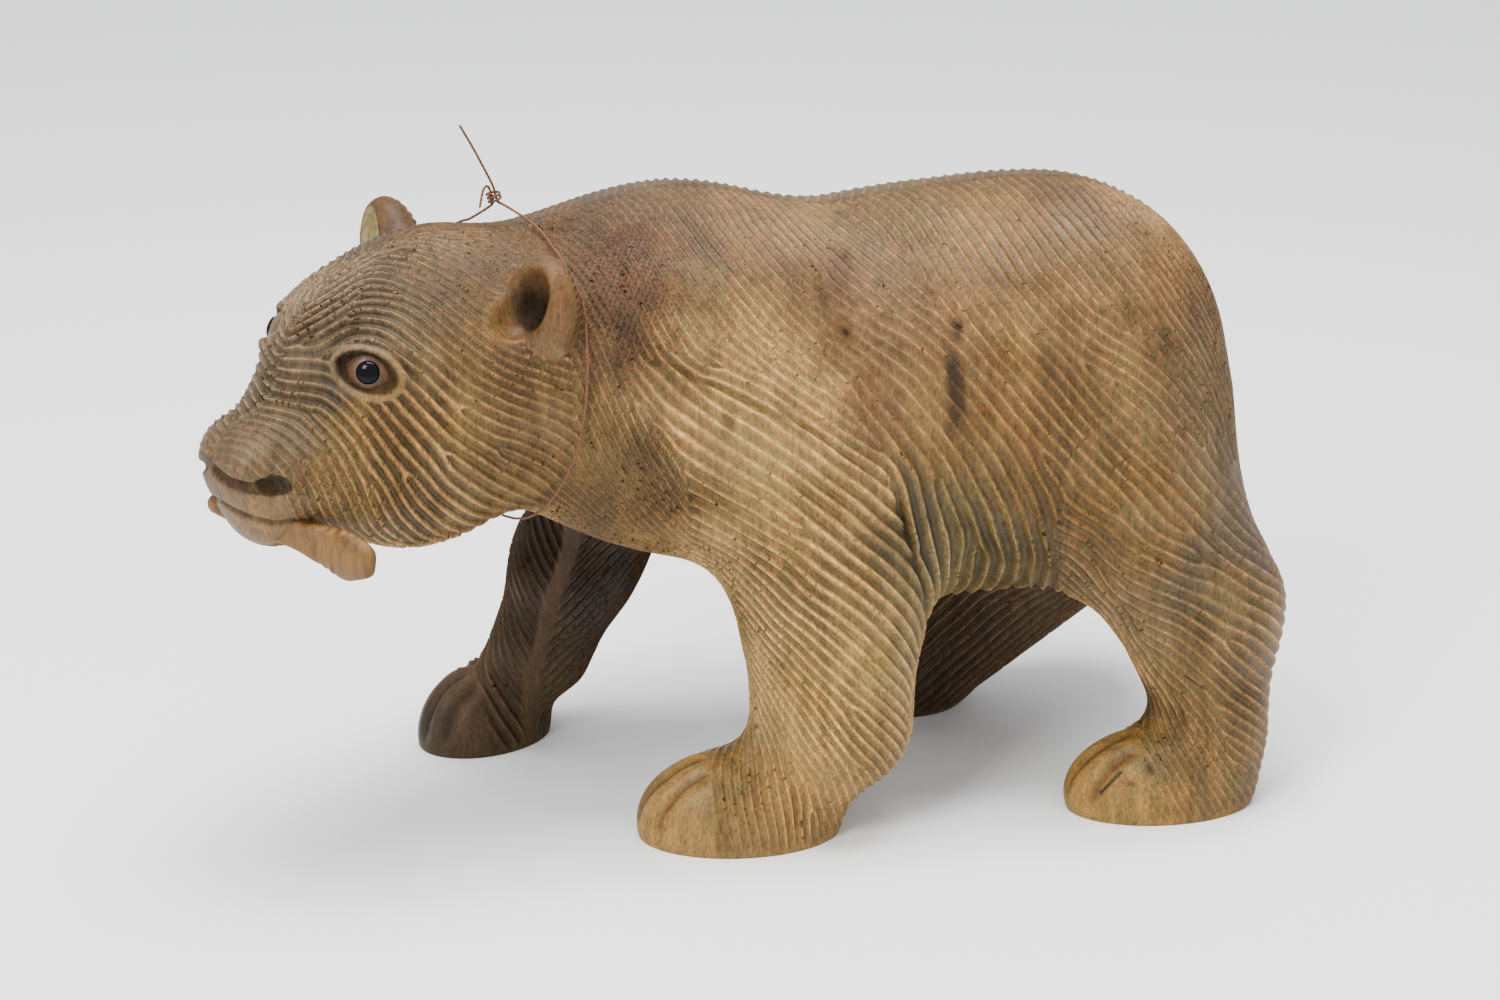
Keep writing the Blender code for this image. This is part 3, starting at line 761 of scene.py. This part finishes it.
def stripe_plan():
    """The stripe pattern's samples on a coarse skin: places, normals, wave vectors, regions and phases."""
    p, _, index = surface(bear, BODY_BOX, PLAN_STEP)
    p, n = seated(bear, p)
    region = region_of(p)
    way, width = flow(p, n, region)
    wave = np.cross(n, way) * (2 * np.pi / width)[:, None]
    unit = wave / length(wave)
    links = []
    for found, real in neighbours(index, np.argwhere(index >= 0), own=False):
        step = p - p[found]
        same = dot(unit, unit[found]) > 0.9
        facing = np.maximum(dot(n, n[found]), 0)
        close = np.exp(-dot(step, step) / (2 * PLAN_STEP**2))
        theta = dot((wave + wave[found]) / 2, step)
        links.append((found, (real * same * facing * close * np.exp(1j * theta)).astype(np.complex64)))
    draw = np.random.default_rng(5)
    z = np.exp(2j * np.pi * draw.random(len(p))).astype(np.complex64)
    for k in range(SOLVE_ROUNDS):
        z = z * np.complex64(0.2) + sum(link * z[found] for found, link in links)
        evening = k > SOLVE_ROUNDS - EVEN_ROUNDS
        if k % 10 == 9 or evening:
            size = np.abs(z)
            z = z / np.maximum(size, 1e-3 * size.mean()) if evening else z / size.mean()
    return p, n, wave, region, z, index


def stripes(plan, p, n):
    """The stripe pattern's phase, as a complex number, its wave vector and the region at every point."""
    places, normals, waves, regions, phases, index = plan
    region = region_of(p)
    cells = np.floor((p - vec(*BODY_BOX[0])) / PLAN_STEP).astype(int)
    wave = np.zeros_like(p)
    total = np.zeros(len(p)) + 1e-9
    links = []
    for found, real in neighbours(index, cells):
        step = p - places[found]
        close = real * np.exp(-dot(step, step) / (1.2 * PLAN_STEP**2)) * np.maximum(dot(n, normals[found]), 0)
        links.append((found, close))
        alike = close * (regions[found] == region)
        wave += waves[found] * alike[:, None]
        total += alike
    wave /= total[:, None]
    way = wave / (length(wave) + 1e-9)
    unit = waves / length(waves)
    z = np.zeros(len(p), complex)
    for found, close in links:
        aligned = close * (dot(unit[found], way) > 0.95)
        z += aligned * phases[found] * np.exp(1j * dot(waves[found], p - places[found]))
    return z, wave, region


def lid_ring(g):
    """How far out each place lies in the eye's axes, 1 at the lid's rim."""
    return np.hypot(g[:, 1] / LID_HALF_WIDTH, g[:, 2] / LID_HALF_HEIGHT)


def on_feet(p):
    """For each foot: the points in its axes, where its toes' cuts end, and which points are near it."""
    for centre, _, yaw, _, edge in FEET.values():
        q = (p - vec(*centre)) @ turn(yaw)
        yield q, edge, (np.abs(q[:, 1]) < PAW_HALF_WIDTH) & (q[:, 0] > -PAW_REACH)


def groove_share(p, n, region):
    """How deeply each place is grooved, from 0 where the wood is smooth to 1."""
    h = folded(in_head(p))
    share = smooth(p[:, 2], 0.3, 4)
    share *= smooth(nose_pad(h), 0.3, 2.5)
    share *= smooth(ellipsoid(h, (-48, -4, -25), (13, 16, 13)), 0, 3)
    g = in_eye(h)
    share *= np.where(np.abs(g[:, 0]) < LID_REACH, smooth(lid_ring(g), 0.88, 1.00), 1)
    backward = (n @ turn(HEAD_YAW))[:, 0]
    for e in ears(p):
        share *= np.where(ear(e) < 1.5, smooth(backward, 0.35, 0.6), 1)
        share *= smooth(ear_cup(e), 0.5, 2.5)
    shin = np.abs(p[:, 0] - np.interp(p[:, 2], SHIN_Z, SHIN_X))
    share *= np.where((region == RIGHT_FORE) | (region == RIGHT_FORE_BACK), smooth(shin, 1.5, 4), 1)
    for q, edge, close in on_feet(p):
        toes = close & (q[:, 0] < 5) & (q[:, 2] < 26)
        share *= np.where(toes, smooth(q[:, 0], edge - 4, edge), 1)
    return share


def toe_creases(p):
    """How deep the cuts between the toes are at each place."""
    deep = np.zeros(len(p))
    for q, edge, close in on_feet(p):
        fade = smooth(-q[:, 0], 1 - edge, 6 - edge) * smooth(p[:, 2], 2, 8) * smooth(-p[:, 2], -30, -24)
        for side in TOE_CUTS:
            line = q[:, 1] - side * (1 - 0.012 * (q[:, 0] + 20)) - 0.5 * np.sin(q[:, 0] / 3)
            cut_here = np.clip(1 - np.abs(line) / TOE_CUT_WIDTH, 0, 1) ** 1.2
            deep = np.maximum(deep, fade * close * cut_here)
    return deep


def seam_creases(p, region):
    """How deep the cuts along the folds of the shoulder and flank are at each place."""
    x, y, z = p.T
    left = smooth(-y, 20, 30)
    above = z - np.interp(x, FOLD_X, FOLD_Z)
    top = np.exp(-(((above - 1.2) / 1.1) ** 2)) * smooth(x, -50, -40) * smooth(-x, -30, -18)
    behind = x - np.interp(z, REAR_Z, REAR_X)
    rear = np.exp(-(((behind - 0.6) / 1.4) ** 2)) * smooth(z, 62, 75) * smooth(-z, -118, -100)
    return left * np.maximum(0.8 * top, 1.6 * rear)


def fine_skin(field, box, step):
    """A field's fine smooth skin: vertices, normals and quads."""
    p, quads, _ = surface(field, box, step)
    p, quads = split(seated(field, p)[0], quads)
    p, n = seated(field, p)
    return p, n, quads


def carved():
    """The body's skin with its grooves cut in, and what its material needs to know about them."""
    p, n, quads = fine_skin(bear, BODY_BOX, BODY_STEP)
    z, wave, region = stripes(stripe_plan(), p, n)
    phase = np.angle(z) + 0.35 * wobble(p, 16, 3)
    phase = (phase + np.pi) % (2 * np.pi) - np.pi
    pace = length(wave)[:, 0] + 1e-9
    to_crest = np.where(phase > 0, np.pi - phase, -np.pi - phase) / pace
    snapped = np.abs(to_crest) < 0.26 * BODY_STEP
    share = groove_share(p, n, region)
    move = np.where(snapped & (share > 0.3), to_crest, 0)
    p = p + wave / pace[:, None] * move[:, None]
    phase = phase + move * pace
    t = np.abs(phase + GROOVE_LEAN * (1 - (phase / np.pi) ** 2)) / np.pi
    width = 2 * np.pi / pace
    toes, seams = toe_creases(p), seam_creases(p, region)
    colour, floor = tints(p, region, toes, seams)
    worn = 0.35 + 1.5 * floor
    depth = GROOVE_DEPTH * np.minimum(width, 5) * worn * (1 + 0.3 * wobble(p, 22, 8))
    cuts = 1.5 * toes + seams + 0.6 * lid_creases(p) + 0.8 * cracked(p)
    p = p - n * (depth * share * (1 - t**2) + cuts)[:, None]
    p[:, 2] = np.maximum(p[:, 2], 0)
    marks = columns(np.cos(phase), np.sin(phase), share)
    # The last vector holds the painted shade levels of the groove floors and of the recesses.
    return p, quads, marks, colour, columns(floor, painted_recess_shade(p), 0 * floor)


def mix(a, b, t):
    return a + (b - a) * t[:, None]


def cracked(p):
    """How deeply each place lies in a drying crack, from 0 to 1."""
    return sum(smooth(-groove(p, crack, CRACK_RADIUS), -0.25, 0.25) for crack in CRACKS)


def lid_creases(p):
    """How deep the arcs over the eyes are at each place."""
    g = in_eye(folded(in_head(p)))
    arc_over = np.exp(-(((lid_ring(g) - 1.06) / 0.05) ** 2)) * smooth(g[:, 2], 0, 4)
    return arc_over * (np.abs(g[:, 0]) < LID_REACH)


def shares_of(p, places, reach):
    """The share that each place has in every point's look."""
    weights = [1 / (((p - vec(*place)) ** 2).sum(axis=1) + reach**2) ** 2.5 for place in places]
    total = sum(weights)
    return [w / total for w in weights]


def painted_recess_shade(p):
    """How dark the painted shade in the nose line, nostrils, mouth, eye sockets and the near ear's cup is at
    each place.
    """
    h = folded(in_head(p))
    dark = 0.97 * smooth(-groove(h, NOSE_LINE, SLOT_RADIUS), -0.6, 0.4)
    dark = np.maximum(dark, 0.97 * smooth(-nostril(h), -0.7, 0.3))
    dark = np.maximum(dark, 0.75 * smooth(-groove(h, LIP_LINE, LIP_RADIUS), -0.9, 0.4))
    g = in_eye(h)
    lid = np.hypot(g[:, 1] / 9.6, g[:, 2] / 5.8)
    dark = np.maximum(dark, 0.85 * smooth(-lid, -1.08, -0.9) * (np.abs(g[:, 0]) < 9))
    near_ear = next(ears(p))
    inside = smooth(-ear(near_ear), 0.5, 5) * smooth(-ear_cup(near_ear), -1.2, -0.4)
    return np.maximum(dark, 0.9 * inside * smooth(-near_ear[:, 2], -38, -26))


def tints(p, region, toes, seams):
    """The broad colour at every vertex, with painted shade and light mixed in, and how much painted shade the
    grooves' floors get.
    """
    shifted = p + 5 * np.stack([wobble(p, 30, seed) for seed in (21, 22, 23)], axis=1)
    places, tones, floors = zip(*TONES)
    shares = shares_of(shifted, places, TONE_REACH)
    colour = sum(share[:, None] * vec(*tone) for share, tone in zip(shares, tones))
    floor = sum(share * dark for share, dark in zip(shares, floors))
    rough_edge = 1 + 0.35 * wobble(p * vec(1, 1, 0.4), 9, 31)
    for middle, size, shade in PATCHES:
        far = ((p - vec(*middle)) / vec(*size) * rough_edge[:, None]) ** 2
        colour = mix(colour, colour * vec(*shade), np.exp(-far.sum(axis=1) ** 1.5))
    # Painted shade in the toes' cuts and along the rear seam.
    colour = mix(colour, colour * vec(*TOE_SHADE), toes**1.6)
    rear_seam = np.clip(seams / 1.6, 0, 1) ** 2
    colour = mix(colour, colour * vec(*SEAM_SHADE), rear_seam)
    # Painted light: the far ear's cup is paled where light falls into it.
    far_ear = list(ears(p))[1]
    pale = smooth(-ear_cup(far_ear), -1.0, -0.2) * smooth(-ear(far_ear), -0.5, 1)
    colour = mix(colour, vec(*LIT_EAR_CUP), 0.9 * pale)
    # Painted shade in the arcs over the eyes.
    colour = mix(colour, colour * vec(*LID_SHADE), lid_creases(p))
    # Painted shade: the nose line, nostrils, mouth, eye sockets, near ear's cup and cracks go near black.
    return mix(colour, vec(*RECESS_SHADE), np.maximum(painted_recess_shade(p), cracked(p))), floor


def body(material):
    p, quads, marks, colour, shade_and_finish = carved()
    ob = new_mesh("Carved_Body_Grooved", p, quads, material)
    keep(ob, "groove", marks, "FLOAT_VECTOR")
    # The tint carries the colour with its painted shade and light; the next vector holds painted shade
    # levels.
    keep(ob, "tint", colour, "FLOAT_COLOR")
    keep(ob, "shade_and_finish", shade_and_finish, "FLOAT_VECTOR")
    instead_of(ob, "Carved_Body")


def eye_frame(side):
    """The eye's axes and centre for the left (1) or right (-1) eye."""
    mirror = np.diag([1.0, side, 1.0])
    out_of_head = turn(HEAD_YAW)
    axes = out_of_head @ mirror @ eye_axes()
    axes[:, 1] *= side
    return axes, vec(*HEAD_AT) + out_of_head @ mirror @ vec(*EYE_AT)


def turned(name, profile, axes, origin, material, sides=64):
    """A surface of revolution about axes' first column, through (along, radius) pairs."""
    angles = np.arange(sides) * 2 * np.pi / sides
    across, up = np.cos(angles), np.sin(angles)
    rings = [columns(np.full(sides, x), r * across, r * up) for x, r in profile]
    vertices = origin + np.concatenate(rings) @ axes.T
    i = np.arange(sides)
    j = (i + 1) % sides
    faces = []
    for k in range(len(profile) - 1):
        a, b = k * sides, (k + 1) * sides
        faces.append(columns(a + i, b + i, b + j, a + j))
    faces = np.concatenate(faces)
    if np.linalg.det(axes) * (profile[-1][0] - profile[0][0]) > 0:
        faces = faces[:, ::-1]
    return new_mesh(name, vertices, faces, material)


def arc(start, stop, radius, count, along=1.0, offset=0.0):
    """(along, radius) pairs on a round about a turned shape's axis, angles from its front in degrees."""
    t = np.radians(np.linspace(start, stop, count))
    return [(offset + along * radius * np.cos(a), radius * np.sin(a)) for a in t]


def eyes(wood, glass):
    for name, side in (("Left", 1), ("Right", -1)):
        axes, origin = eye_frame(side)
        ball = arc(0.5, 80, EYEBALL_RADIUS, 26, 1.0, EYEBALL_BACK)
        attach(turned("Eyeball_" + name, ball, axes, origin, wood), "root")
        dome = arc(0.5, 90, BEAD_RADIUS, 16, BEAD_FRONT / BEAD_RADIUS)
        rim = (BEAD_BACK + BEAD_BEVEL, BEAD_RADIUS), (BEAD_BACK, BEAD_RADIUS - BEAD_BEVEL)
        bead = turned("Glass_Bead_" + name, [*dome, *rim, (BEAD_BACK, 0.02)], axes, origin, glass)
        instead_of(bead, "Eye_" + name)


def faceted_fish(q):
    """The fish with its broad tail squared off by a few flat cuts."""
    d = fish(q)
    along, across, up = turn(-70, 10).T
    for way, reach in ((along, 9.0), (across, 2.2), (-across, 2.6), (0.5 * along - 0.87 * up, 7.2)):
        d = cut(d, reach - (q - vec(*FISH_FIN)) @ way, 0.6)
    return d


def fish_piece(material):
    """The pale fish, with a few light cuts across its tail."""
    p, n, quads = fine_skin(faceted_fish, FISH_BOX, FISH_STEP)
    p = p - n * carving_on_fish(p)[:, None]
    instead_of(new_mesh("Fish_Carved", p @ turn(HEAD_YAW).T + vec(*HEAD_AT), quads, material), "Fish")


def carving_on_fish(p):
    deep = np.zeros(len(p))
    for k in range(4):
        line = p[:, 1] + 26 + 3.2 * (k - 1.5) * 0.9 + 0.5 * (p[:, 2] + 35)
        deep = np.maximum(deep, 0.35 * np.exp(-((line / 0.6) ** 2)) * (p[:, 1] < -22))
    return deep


def smooth_curve(points, steps):
    """Points on the Catmull-Rom curve through the given ones, steps to a span."""
    p = np.array(points, float)
    p = np.concatenate([[2 * p[0] - p[1]], p, [2 * p[-1] - p[-2]]])
    out = []
    for a, b, c, d in zip(p[:-3], p[1:-2], p[2:-1], p[3:]):
        for t in np.arange(steps) / steps:
            out.append(b + 0.5 * t * (c - a + t * (2 * a - 5 * b + 4 * c - d + t * (3 * (b - c) + d - a))))
    return np.array([*out, p[-2]])


def resting(points):
    """Points moved to lie against the neck."""
    p = np.array(points, float)
    for _ in range(3):
        d, n = slope(bear, p)
        p = p + n * (CORD_LIFT - d)[:, None]
    return p


def clear_of_wood(points):
    """Points pushed out to the cord's clearance where they come nearer than that."""
    d, n = slope(bear, points)
    return points + n * np.maximum(CORD_LIFT - d, 0)[:, None]


def cord_line():
    route = [TAIL_ROUTE, resting(NEAR_ROUTE), THROAT_ROUTE, resting(FAR_ROUTE), END_ROUTE]
    return clear_of_wood(smooth_curve(np.concatenate(route), CORD_STEPS))


def knot_line():
    """The knot's close turns around both strands, along the tail."""
    axis = vec(-0.25, 0.05, 1.0)
    axis /= np.linalg.norm(axis)
    across = np.cross(axis, vec(0, 1, 0))
    across /= np.linalg.norm(across)
    side = np.cross(axis, across)
    line = []
    for t in np.linspace(-0.5, 0.5, 34) * KNOT_TURNS:
        angle = 2 * np.pi * t
        ring = across * np.cos(angle) + side * np.sin(angle)
        line.append(vec(*KNOT_AT) + KNOT_RADIUS * ring + axis * KNOT_PITCH * t)
    return np.array(line)


def evenly(line, gap):
    """The line's points re-spaced to about the gap given."""
    along = np.concatenate([[0], np.cumsum(length(np.diff(line, axis=0))[:, 0])])
    at = np.linspace(0, along[-1], max(int(along[-1] / gap), 2) + 1)
    return np.stack([np.interp(at, along, line[:, i]) for i in range(3)], axis=1)


def yarn(name, line, radius, material, plies=2, twist=2.6, gap=0.35, sides=10):
    """A twisted twine along a line, narrowed at both ends: its section is two plies that turn along it."""
    line = evenly(line, gap)
    way = np.gradient(line, axis=0)
    way /= length(way)
    up = np.zeros_like(line)
    up[0] = np.cross(way[0], vec(0.3, 1, 0.2))
    for i in range(1, len(line)):
        up[i] = up[i - 1] - way[i] * (up[i - 1] @ way[i])
        up[i] /= np.linalg.norm(up[i])
    up[0] /= np.linalg.norm(up[0])
    side = np.cross(way, up)
    spin = 2 * np.pi * np.arange(len(line)) * gap / twist
    angles = np.arange(sides) * 2 * np.pi / sides
    reach = 0.80 + 0.20 * np.abs(np.cos(plies / 2 * (angles[None] - spin[:, None])))
    ends = np.minimum(1, np.minimum(np.arange(len(line)), np.arange(len(line))[::-1]) * 0.7 + 0.25)
    r = radius * reach * ends[:, None]
    rings = line[:, None] + r[..., None] * (
        np.cos(angles)[None, :, None] * up[:, None] + np.sin(angles)[None, :, None] * side[:, None]
    )
    i = np.arange(sides)
    j = (i + 1) % sides
    faces = np.concatenate([
        columns(k * sides + i, k * sides + j, (k + 1) * sides + j, (k + 1) * sides + i)
        for k in range(len(line) - 1)
    ])
    return new_mesh(name, rings.reshape(-1, 3), faces, material), line


def twine(material):
    cord, line = yarn("Neck_Twine", cord_line(), CORD_RADIUS, material)
    knot, _ = yarn("Knot_Twine", knot_line(), KNOT_WIRE, material)
    instead_of(cord, "Neck_String")
    instead_of(knot, "String_Knot")
    route = (line - MIDDLE) * MM
    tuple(route[0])


class Shader:
    """A material's nodes, made one expression at a time."""

    def __init__(self, name):
        self.made = bpy.data.materials.new(name)
        self.made.use_nodes = True
        self.tree = self.made.node_tree
        self.bsdf = self.tree.nodes["Principled BSDF"]

    def node(self, kind, inputs=(), **settings):
        node = self.tree.nodes.new(kind)
        for key, value in settings.items():
            setattr(node, key, value)
        for key, value in dict(inputs).items():
            self.put(node.inputs[key], value)
        return node

    def put(self, socket, value):
        if isinstance(value, bpy.types.NodeSocket):
            self.tree.links.new(value, socket)
        elif isinstance(value, tuple) and len(value) == 3 and socket.type == "RGBA":
            socket.default_value = (*value, 1)
        else:
            socket.default_value = value

    def math(self, operation, *values):
        return self.node("ShaderNodeMath", enumerate(values), operation=operation).outputs[0]

    def attribute(self, name):
        return self.node("ShaderNodeAttribute", attribute_name=name)

    def times(self, first, *others):
        for other in others:
            first = self.math("MULTIPLY", first, other)
        return first

    def noise(self, upright, scale, detail=4.0, roughness=0.5):
        """Noise on the object's coordinates, drawn out along z where upright is below 1."""
        at = self.node("ShaderNodeTexCoord").outputs["Object"]
        placed_at = self.node("ShaderNodeVectorMath", {0: at, 1: (1.0, 1.0, upright)}, operation="MULTIPLY")
        inputs = {"Vector": placed_at.outputs[0], "Scale": scale, "Detail": detail, "Roughness": roughness}
        return self.node("ShaderNodeTexNoise", inputs).outputs["Fac"]

    def between(self, value, low, high, to_low=0.0, to_high=1.0):
        inputs = {"Value": value, "From Min": low, "From Max": high, "To Min": to_low, "To Max": to_high}
        return self.node("ShaderNodeMapRange", inputs, interpolation_type="SMOOTHSTEP").outputs["Result"]

    def blend(self, a, b, share, kind="MIX"):
        node = self.node("ShaderNodeMix", data_type="RGBA", blend_type=kind)
        self.put(node.inputs[0], share)
        self.put(node.inputs[6], a)
        self.put(node.inputs[7], b)
        return node.outputs[2]

    def tinted(self, colour, tint):
        return self.blend(colour, tint, 1.0, "MULTIPLY")

    def bump(self, height, strength, distance):
        inputs = {"Height": height, "Strength": strength, "Distance": distance * MM}
        self.put(self.bsdf.inputs["Normal"], self.node("ShaderNodeBump", inputs).outputs["Normal"])

    def shade_and_finish(self, colour, roughness, specular=0.35):
        self.put(self.bsdf.inputs["Base Color"], colour)
        self.put(self.bsdf.inputs["Roughness"], roughness)
        self.put(self.bsdf.inputs["Specular IOR Level"], specular)
        return self.made


def carved_wood():
    s = Shader("Carved Oiled Wood")
    marks = s.attribute("groove").outputs["Vector"]
    cosine, sine, grooved = s.node("ShaderNodeSeparateXYZ", {0: marks}).outputs
    phase = s.math("ARCTAN2", sine, cosine)
    turns = s.math("DIVIDE", phase, np.pi)
    lean = s.times(s.math("SUBTRACT", 1.0, s.times(turns, turns)), GROOVE_LEAN)
    t = s.math("DIVIDE", s.math("ABSOLUTE", s.math("ADD", phase, lean)), np.pi)
    # Where the pattern breaks, the phase that is met between vertices is short, and the groove fades out.
    flat = s.node("ShaderNodeVectorMath", {0: marks, 1: (1.0, 1.0, 0.0)}, operation="MULTIPLY").outputs[0]
    clear = s.node("ShaderNodeVectorMath", {0: flat}, operation="LENGTH").outputs["Value"]
    share = s.times(grooved, s.between(clear, 0.35, 0.75))
    # The painted shade levels of the groove floors and of the recesses; the second also lowers the specular
    # level.
    shade_and_finish = s.attribute("shade_and_finish").outputs["Vector"]
    floor, recess_shading, _ = s.node("ShaderNodeSeparateXYZ", {0: shade_and_finish}).outputs
    tint = s.attribute("tint").outputs["Color"]

    streak = s.noise(0.10, 380.0, 6.0, 0.65)
    mottle = s.noise(0.45, 70.0, 4.0, 0.6)
    speck = s.noise(0.45, 1300.0, 3.0, 0.6)
    tick = s.noise(1.0, 700.0, 2.0, 0.5)
    # The next noise breaks up the crests' painted highlight; the one after mottles the floors' painted shade
    # and shifts the red a little.
    highlight_and_wear = s.noise(0.6, 75.0, 2.0)
    shade_and_tint_noise = s.noise(0.5, 40.0, 3.0, 0.6)
    smear = s.noise(0.35, 26.0, 3.0)

    # Crests get a painted highlight that also stands for paler worn wood; floors get painted shade, as deep
    # as the tone table's floor value asks.
    ragged = s.math("ADD", t, s.between(tick, 0.3, 0.7, -0.06, 0.06))
    crest = s.times(s.between(ragged, 0.86, 0.97), share, s.between(highlight_and_wear, 0.38, 0.60, 0.15, 0.75))
    dark = s.times(floor, s.between(shade_and_tint_noise, 0.36, 0.64, 0.70, 1.40))
    trough = s.times(s.between(ragged, 0.85, 0.30), share, dark)
    colour = s.blend(tint, s.tinted(tint, CREST_HIGHLIGHT), crest)
    colour = s.blend(colour, FLOOR_SHADE, trough, "MULTIPLY")
    level = s.times(
        s.between(streak, 0.36, 0.64, 0.82, 1.21),
        s.between(mottle, 0.35, 0.65, 0.84, 1.16),
        s.between(speck, 0.32, 0.60, 0.70, 1.20),
        s.between(smear, 0.35, 0.65, 0.77, 1.23),
    )
    red = s.times(s.between(tick, 0.35, 0.65, 0.90, 1.12), s.between(shade_and_tint_noise, 0.36, 0.64, 0.96, 1.05))
    green = s.between(tick, 0.35, 0.65, 1.04, 0.94)
    channels = {0: s.times(level, red), 1: s.times(level, green), 2: level}
    colour = s.tinted(colour, s.node("ShaderNodeCombineColor", channels).outputs[0])

    worn = s.math("ADD", 0.35, s.times(floor, 1.5))
    relief = s.times(t, t, share, worn, CREST_RELIEF)
    grain = s.times(s.math("ADD", streak, speck), GRAIN_RELIEF)
    s.bump(s.math("ADD", relief, grain), 1.0, 1.0)
    return s.shade_and_finish(colour, s.between(mottle, 0.3, 0.7, 0.46, 0.62), s.between(recess_shading, 0.2, 0.8, 0.25, 0.02))


def plain_wood(name, colour, roughness):
    s = Shader(name)
    grain = s.noise(0.15, 500.0, 5.0, 0.6)
    smear = s.noise(0.5, 160.0, 4.0, 0.6)
    tone = s.blend(colour, tuple(0.70 * c for c in colour), s.between(grain, 0.6, 0.4))
    stained_tone = s.tinted(tone, (0.55, 0.45, 0.38))
    tone = s.blend(tone, stained_tone, s.between(smear, 0.48, 0.64, 0.0, 0.8))
    s.bump(grain, 0.15, 0.2)
    return s.shade_and_finish(tone, roughness)


def black_glass():
    return Shader("Black Glass Bead").shade_and_finish((0.002, 0.002, 0.003), 0.10, 0.12)


def fibre():
    s = Shader("Twisted Brown Twine")
    fuzz = s.noise(1.0, 2500.0, 3.0, 0.6)
    colour = s.blend((0.07, 0.022, 0.010), (0.18, 0.075, 0.032), s.between(fuzz, 0.35, 0.65))
    s.bump(fuzz, 0.4, 0.1)
    return s.shade_and_finish(colour, 0.85)


def camera():
    a, e = np.radians([CAMERA_YAW, CAMERA_TILT])
    look = vec(-np.sin(a) * np.cos(e), np.cos(a) * np.cos(e), -np.sin(e))
    data = bpy.data.cameras.new("Camera")
    data.lens = CAMERA_LENS
    data.sensor_width = 36.0
    data.clip_start, data.clip_end = 0.01, 20.0
    ob = placed("Camera", data)
    ob.location = Vector((vec(*CAMERA_AIM) - MIDDLE - CAMERA_DISTANCE * look) * MM)
    ob.rotation_euler = Vector(look).to_track_quat("-Z", "Y").to_euler()
    bpy.context.scene.camera = ob


def lamp(name, at, size, power):
    data = bpy.data.lights.new(name, "AREA")
    data.shape = "RECTANGLE"
    data.size, data.size_y = size
    data.energy = power
    ob = placed(name, data)
    ob.location = at
    ob.rotation_euler = (Vector(LAMP_AIM) - Vector(at)).to_track_quat("-Z", "Y").to_euler()


def studio():
    corners = [(x * FLOOR_HALF, y * FLOOR_HALF, 0) for x, y in ((-1, -1), (1, -1), (1, 1), (-1, 1))]
    mesh = bpy.data.meshes.new("Floor")
    mesh.from_pydata(corners, [], [(0, 1, 2, 3)])
    floor = placed("Floor", mesh)
    mesh.materials.append(Shader("Pale Floor").shade_and_finish((0.9, 0.9, 0.9), 0.7))
    world = bpy.data.worlds.new("Studio")
    world.use_nodes = True
    background = world.node_tree.nodes["Background"]
    background.inputs[0].default_value = SKY_COLOUR
    background.inputs[1].default_value = SKY_STRENGTH
    bpy.context.scene.world = world
    for row in LAMPS:
        lamp(*row)


def main():
    camera()
    twine(fibre())
    body(carved_wood())
    eyes(plain_wood("Oiled Eyeball Wood", (0.112, 0.056, 0.026), 0.35), black_glass())
    fish_piece(plain_wood("Pale Fish Wood", (0.158, 0.070, 0.012), 0.5))
    studio()


main()
